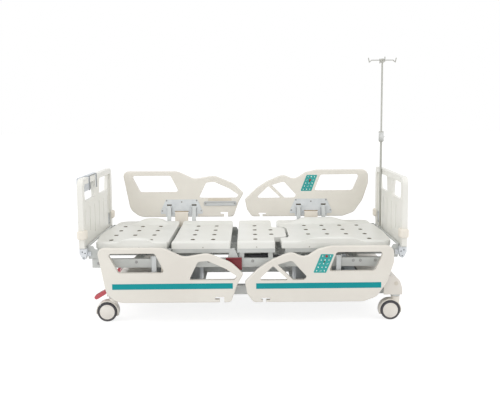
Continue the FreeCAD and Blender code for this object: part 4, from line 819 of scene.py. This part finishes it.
# Nurse panel: a dark film with a small green display and rows of pale keys, and rubber on the hooks.
membrane = moulded("membrane_film", "5F6B76", "55616C", roughness=0.35, grain=300, depth=0.05)
display_green = moulded("display_window", "3E5A50", "36524A", roughness=0.15, grain=200, depth=0.02,
                        coat=0.4)
film_x, key_x = -1.0683, -1.069
panel_middle, key_pitch, key_half_y, key_half_z = -0.18, 0.029, 0.0095, 0.0062
on_panel = ((0, 1, 0), (0, 0, 1), (-1, 0, 0))
film = pad_on(rounded_box(-0.318, 0.834, -0.042, 0.902, 0.006),
              [(0, -0.0002), (0, 0.0004), (0.0008, 0.0008)], (film_x, 0, 0), *on_panel)
add_piece("nurse_film", film, "nurse_panel", membrane, smooth=False)
keys = []
for row, z in enumerate((0.848, 0.868, 0.888)):
    for column in range(9):
        if row == 2 and column in (3, 4, 5):
            continue
        y = panel_middle + (column - 4) * key_pitch
        outline = rounded_box(y - key_half_y, z - key_half_z, y + key_half_y, z + key_half_z, 0.003, 4)
        keys.append(pad_on(outline, [(0, 0), (0, 0.0005), (0.0012, 0.0012)], (key_x, 0, 0), *on_panel))
add_piece("nurse_keys", joined(keys), "nurse_panel", icon_white, smooth=False)
window = pad_on(rounded_box(-0.220, 0.881, -0.140, 0.896, 0.002), [(0, 0), (0, 0.0003), (0.0006, 0.0006)],
                (key_x, 0, 0), *on_panel)
add_piece("nurse_display", window, "nurse_panel", display_green, smooth=False)
hook_grey = moulded("hook_sheath", "8F9296", "83868A", roughness=0.45)
sheath_levels, sheaths = [(0, -0.0002), (0, 0.0006), (0.0008, 0.0011)], []
for y in (-0.288, -0.072):
    sheaths.append(pad_on(rounded_box(-0.0125, 0.834, 0.0125, 0.925, 0.002), sheath_levels,
                          (-0.9947, y, 0), (0, 1, 0), (0, 0, 1), (1, 0, 0)))
    sheaths.append(pad_on(rounded_box(-1.030, -0.0125, -0.9953, 0.0125, 0.002), sheath_levels,
                          (0, y, 0.9253), (1, 0, 0), (0, 1, 0), (0, 0, 1)))
add_piece("nurse_hook_pads", joined(sheaths), "nurse_panel", hook_grey)
# A pale cover lies over both hooks on top of the board.
bridge = pad_on(rounded_box(-1.026, -0.302, -1.001, -0.058, 0.006), [(0, 0), (0, 0.004), (0.003, 0.0065)],
                (0, 0, 0.9262), (1, 0, 0), (0, 1, 0), (0, 0, 1))
add_piece("nurse_bridge", bridge, "nurse_panel", nurse_plastic)

# ---- Infusion pole
# Two steel tubes, the lower one in a socket at the head end, the upper one with four wire hooks. The
# clamp between them has a pale sleeve and a lobed knob.
pole_steel = bare_metal("pole_steel", "B2B2AB", "A5A59E", 0.4, (8.0, 8.0, 2.0), depth=0.02, metallic=0.45)
soft_edges("iv_pole_lower", "pole_tube", pole_steel, 0.0015)
soft_edges("iv_pole_upper", "pole_rod", pole_steel, 0.0012, segments=2)


def grip_cap(place, out, radius, lobes=6, rings=12, steps=72):
    """A hand knob: radius (1 + swell cos(lobes a)) sin(pi t)^0.35 at height t of its thickness."""
    swell, thickness = 0.09, 0.010
    turn = np.linspace(0, 2 * np.pi, steps, endpoint=False)
    wave = 1 + swell * np.cos(lobes * turn)
    level = np.linspace(0, 1, rings)
    span = radius * np.sin(np.pi * np.clip(level, 0.02, 0.98)) ** 0.35
    span = np.concatenate([[tiny], span, [tiny]])[:, None]
    height = thickness * np.concatenate([[0], level, [1]])[:, None]
    local = np.stack([span * np.cos(turn) * wave, span * np.sin(turn) * wave, height + 0 * turn], -1)
    points = on_face(local, place, np.cross(out, (0, 0, 1.0)), (0, 0, 1), out)
    return points, grid_faces(rings + 2, steps)


# The clamp: the sleeve has a rounded rim over the collar, and the knob sits on its screw.
clamp_plastic = moulded("clamp_plastic", "D4D5D3", "C9CAC8", roughness=0.4)
pole_x, pole_y, clamp_low, knob_y, knob_rise = 0.9885, 0.225, 1.115, 0.1925, 0.0375
sleeve = turned([(0.0172, 0.004), (0.0183, 0.004), (0.0183, 0.060), (0.0172, 0.062), (0.0172, 0.004)],
                (pole_x, pole_y, clamp_low + 0.0045), (0, 0, 1), 48)
add_piece("clamp_sleeve", sleeve, body_of_node["iv_pole_lower"], clamp_plastic)
knob = grip_cap((pole_x, knob_y, clamp_low + knob_rise), (0, -1, 0), 0.0165)
add_piece("clamp_knob", knob, body_of_node["iv_pole_lower"], clamp_plastic)

# ---- Studio
# A plain pale floor and a white surround, with soft lamps above, beside the camera and at both ends.
# Camera rays see the floor glow as bright as the surround, while light that lands on it still shades.
floor_mesh = bpy.data.meshes.new("floor")
floor_mesh.from_pydata([(-30, -12, 0), (30, -12, 0), (30, 40, 0), (-30, 40, 0)], [], [(0, 1, 2, 3)])
floor = bpy.data.objects.new("floor", floor_mesh)
bpy.context.scene.collection.objects.link(floor)


def seen_directly(tree):
    """One for camera and glossy rays, nought for the rays that only carry light."""
    sight = put(tree, "LightPath")
    return maths(tree, "MAXIMUM", sight.outputs["Is Camera Ray"], sight.outputs["Is Glossy Ray"])


lit_albedo, seen_albedo, seen_glow, lit_world, seen_world = 0.92, 0.38, 0.81, 0.76, 1.0
floor_material = bpy.data.materials.new("floor_paper")
floor_material.use_nodes = True
tree = floor_material.node_tree
paper = tree.nodes["Principled BSDF"]
paper.inputs["Roughness"].default_value = 1.0
paper.inputs["Specular IOR Level"].default_value = 0.0
seen = seen_directly(tree)
albedo = put(tree, "MapRange", {"Value": seen, "To Min": lit_albedo, "To Max": seen_albedo})
shade = put(tree, "CombineColor", {"Red": albedo.outputs[0], "Green": albedo.outputs[0],
                                   "Blue": albedo.outputs[0]})
tree.links.new(shade.outputs[0], paper.inputs["Base Color"])
glow = maths(tree, "MULTIPLY", seen, seen_glow)
light = put(tree, "Emission", {"Color": (1, 1, 1, 1), "Strength": glow})
total = put(tree, "AddShader", {0: paper.outputs[0], 1: light.outputs[0]})
tree.links.new(total.outputs[0], tree.nodes["Material Output"].inputs["Surface"])
floor_mesh.materials.append(floor_material)

world = bpy.data.worlds.new("studio")
bpy.context.scene.world = world
world.use_nodes = True
tree = world.node_tree
background = tree.nodes["Background"]
background.inputs["Color"].default_value = (1, 1, 1, 1)
level = put(tree, "MapRange", {"Value": seen_directly(tree), "To Min": lit_world,
                               "To Max": seen_world})
tree.links.new(level.outputs["Result"], background.inputs["Strength"])


def soft_lamp(name, place, aim, width, height, power):
    """A rectangular area lamp at a place, turned towards a point."""
    data = bpy.data.lights.new(name, "AREA")
    data.shape = "RECTANGLE"
    data.size, data.size_y, data.energy = width, height, power
    lamp = bpy.data.objects.new(name, data)
    bpy.context.scene.collection.objects.link(lamp)
    lamp.location = place
    lamp.rotation_euler = (Vector(aim) - Vector(place)).to_track_quat("-Z", "Y").to_euler()
    return lamp


soft_lamp("lamp_above", (-0.6, -0.8, 4.2), (0, 0, 0.3), 4.5, 3.0, 26.0)
soft_lamp("lamp_front", (-1.5, -6.0, 1.5), (0, 0, 0.4), 3.5, 2.0, 33.0)
for end, side in (("head", 1), ("foot", -1)):
    soft_lamp("lamp_side_" + end, (3.6 * side, -1.2, 2.6), (-0.5 * side, 0, 0.7), 1.6, 1.6, 28.0)

# The camera stands in front of the near side, at chest height, looking slightly down.
camera_place = (0.0311, -4.9618, 1.3315)
yaw, pitch, roll = 0.0031, 0.121, -0.0064
ahead = Vector((math.sin(yaw) * math.cos(pitch), math.cos(yaw) * math.cos(pitch), -math.sin(pitch)))
level_right = Vector((math.cos(yaw), -math.sin(yaw), 0))
level_up = level_right.cross(ahead)
right = math.cos(roll) * level_right + math.sin(roll) * level_up
up = math.cos(roll) * level_up - math.sin(roll) * level_right
lens = bpy.data.cameras.new("camera")
lens.lens = 52.05
lens.sensor_width = 36.0
lens.clip_end = 200.0
camera = bpy.data.objects.new("camera", lens)
bpy.context.scene.collection.objects.link(camera)
turn = Matrix((right, up, -ahead)).transposed().to_4x4()
camera.matrix_world = Matrix.Translation(camera_place) @ turn
bpy.context.scene.camera = camera
bpy.context.scene.view_settings.view_transform = "Standard"
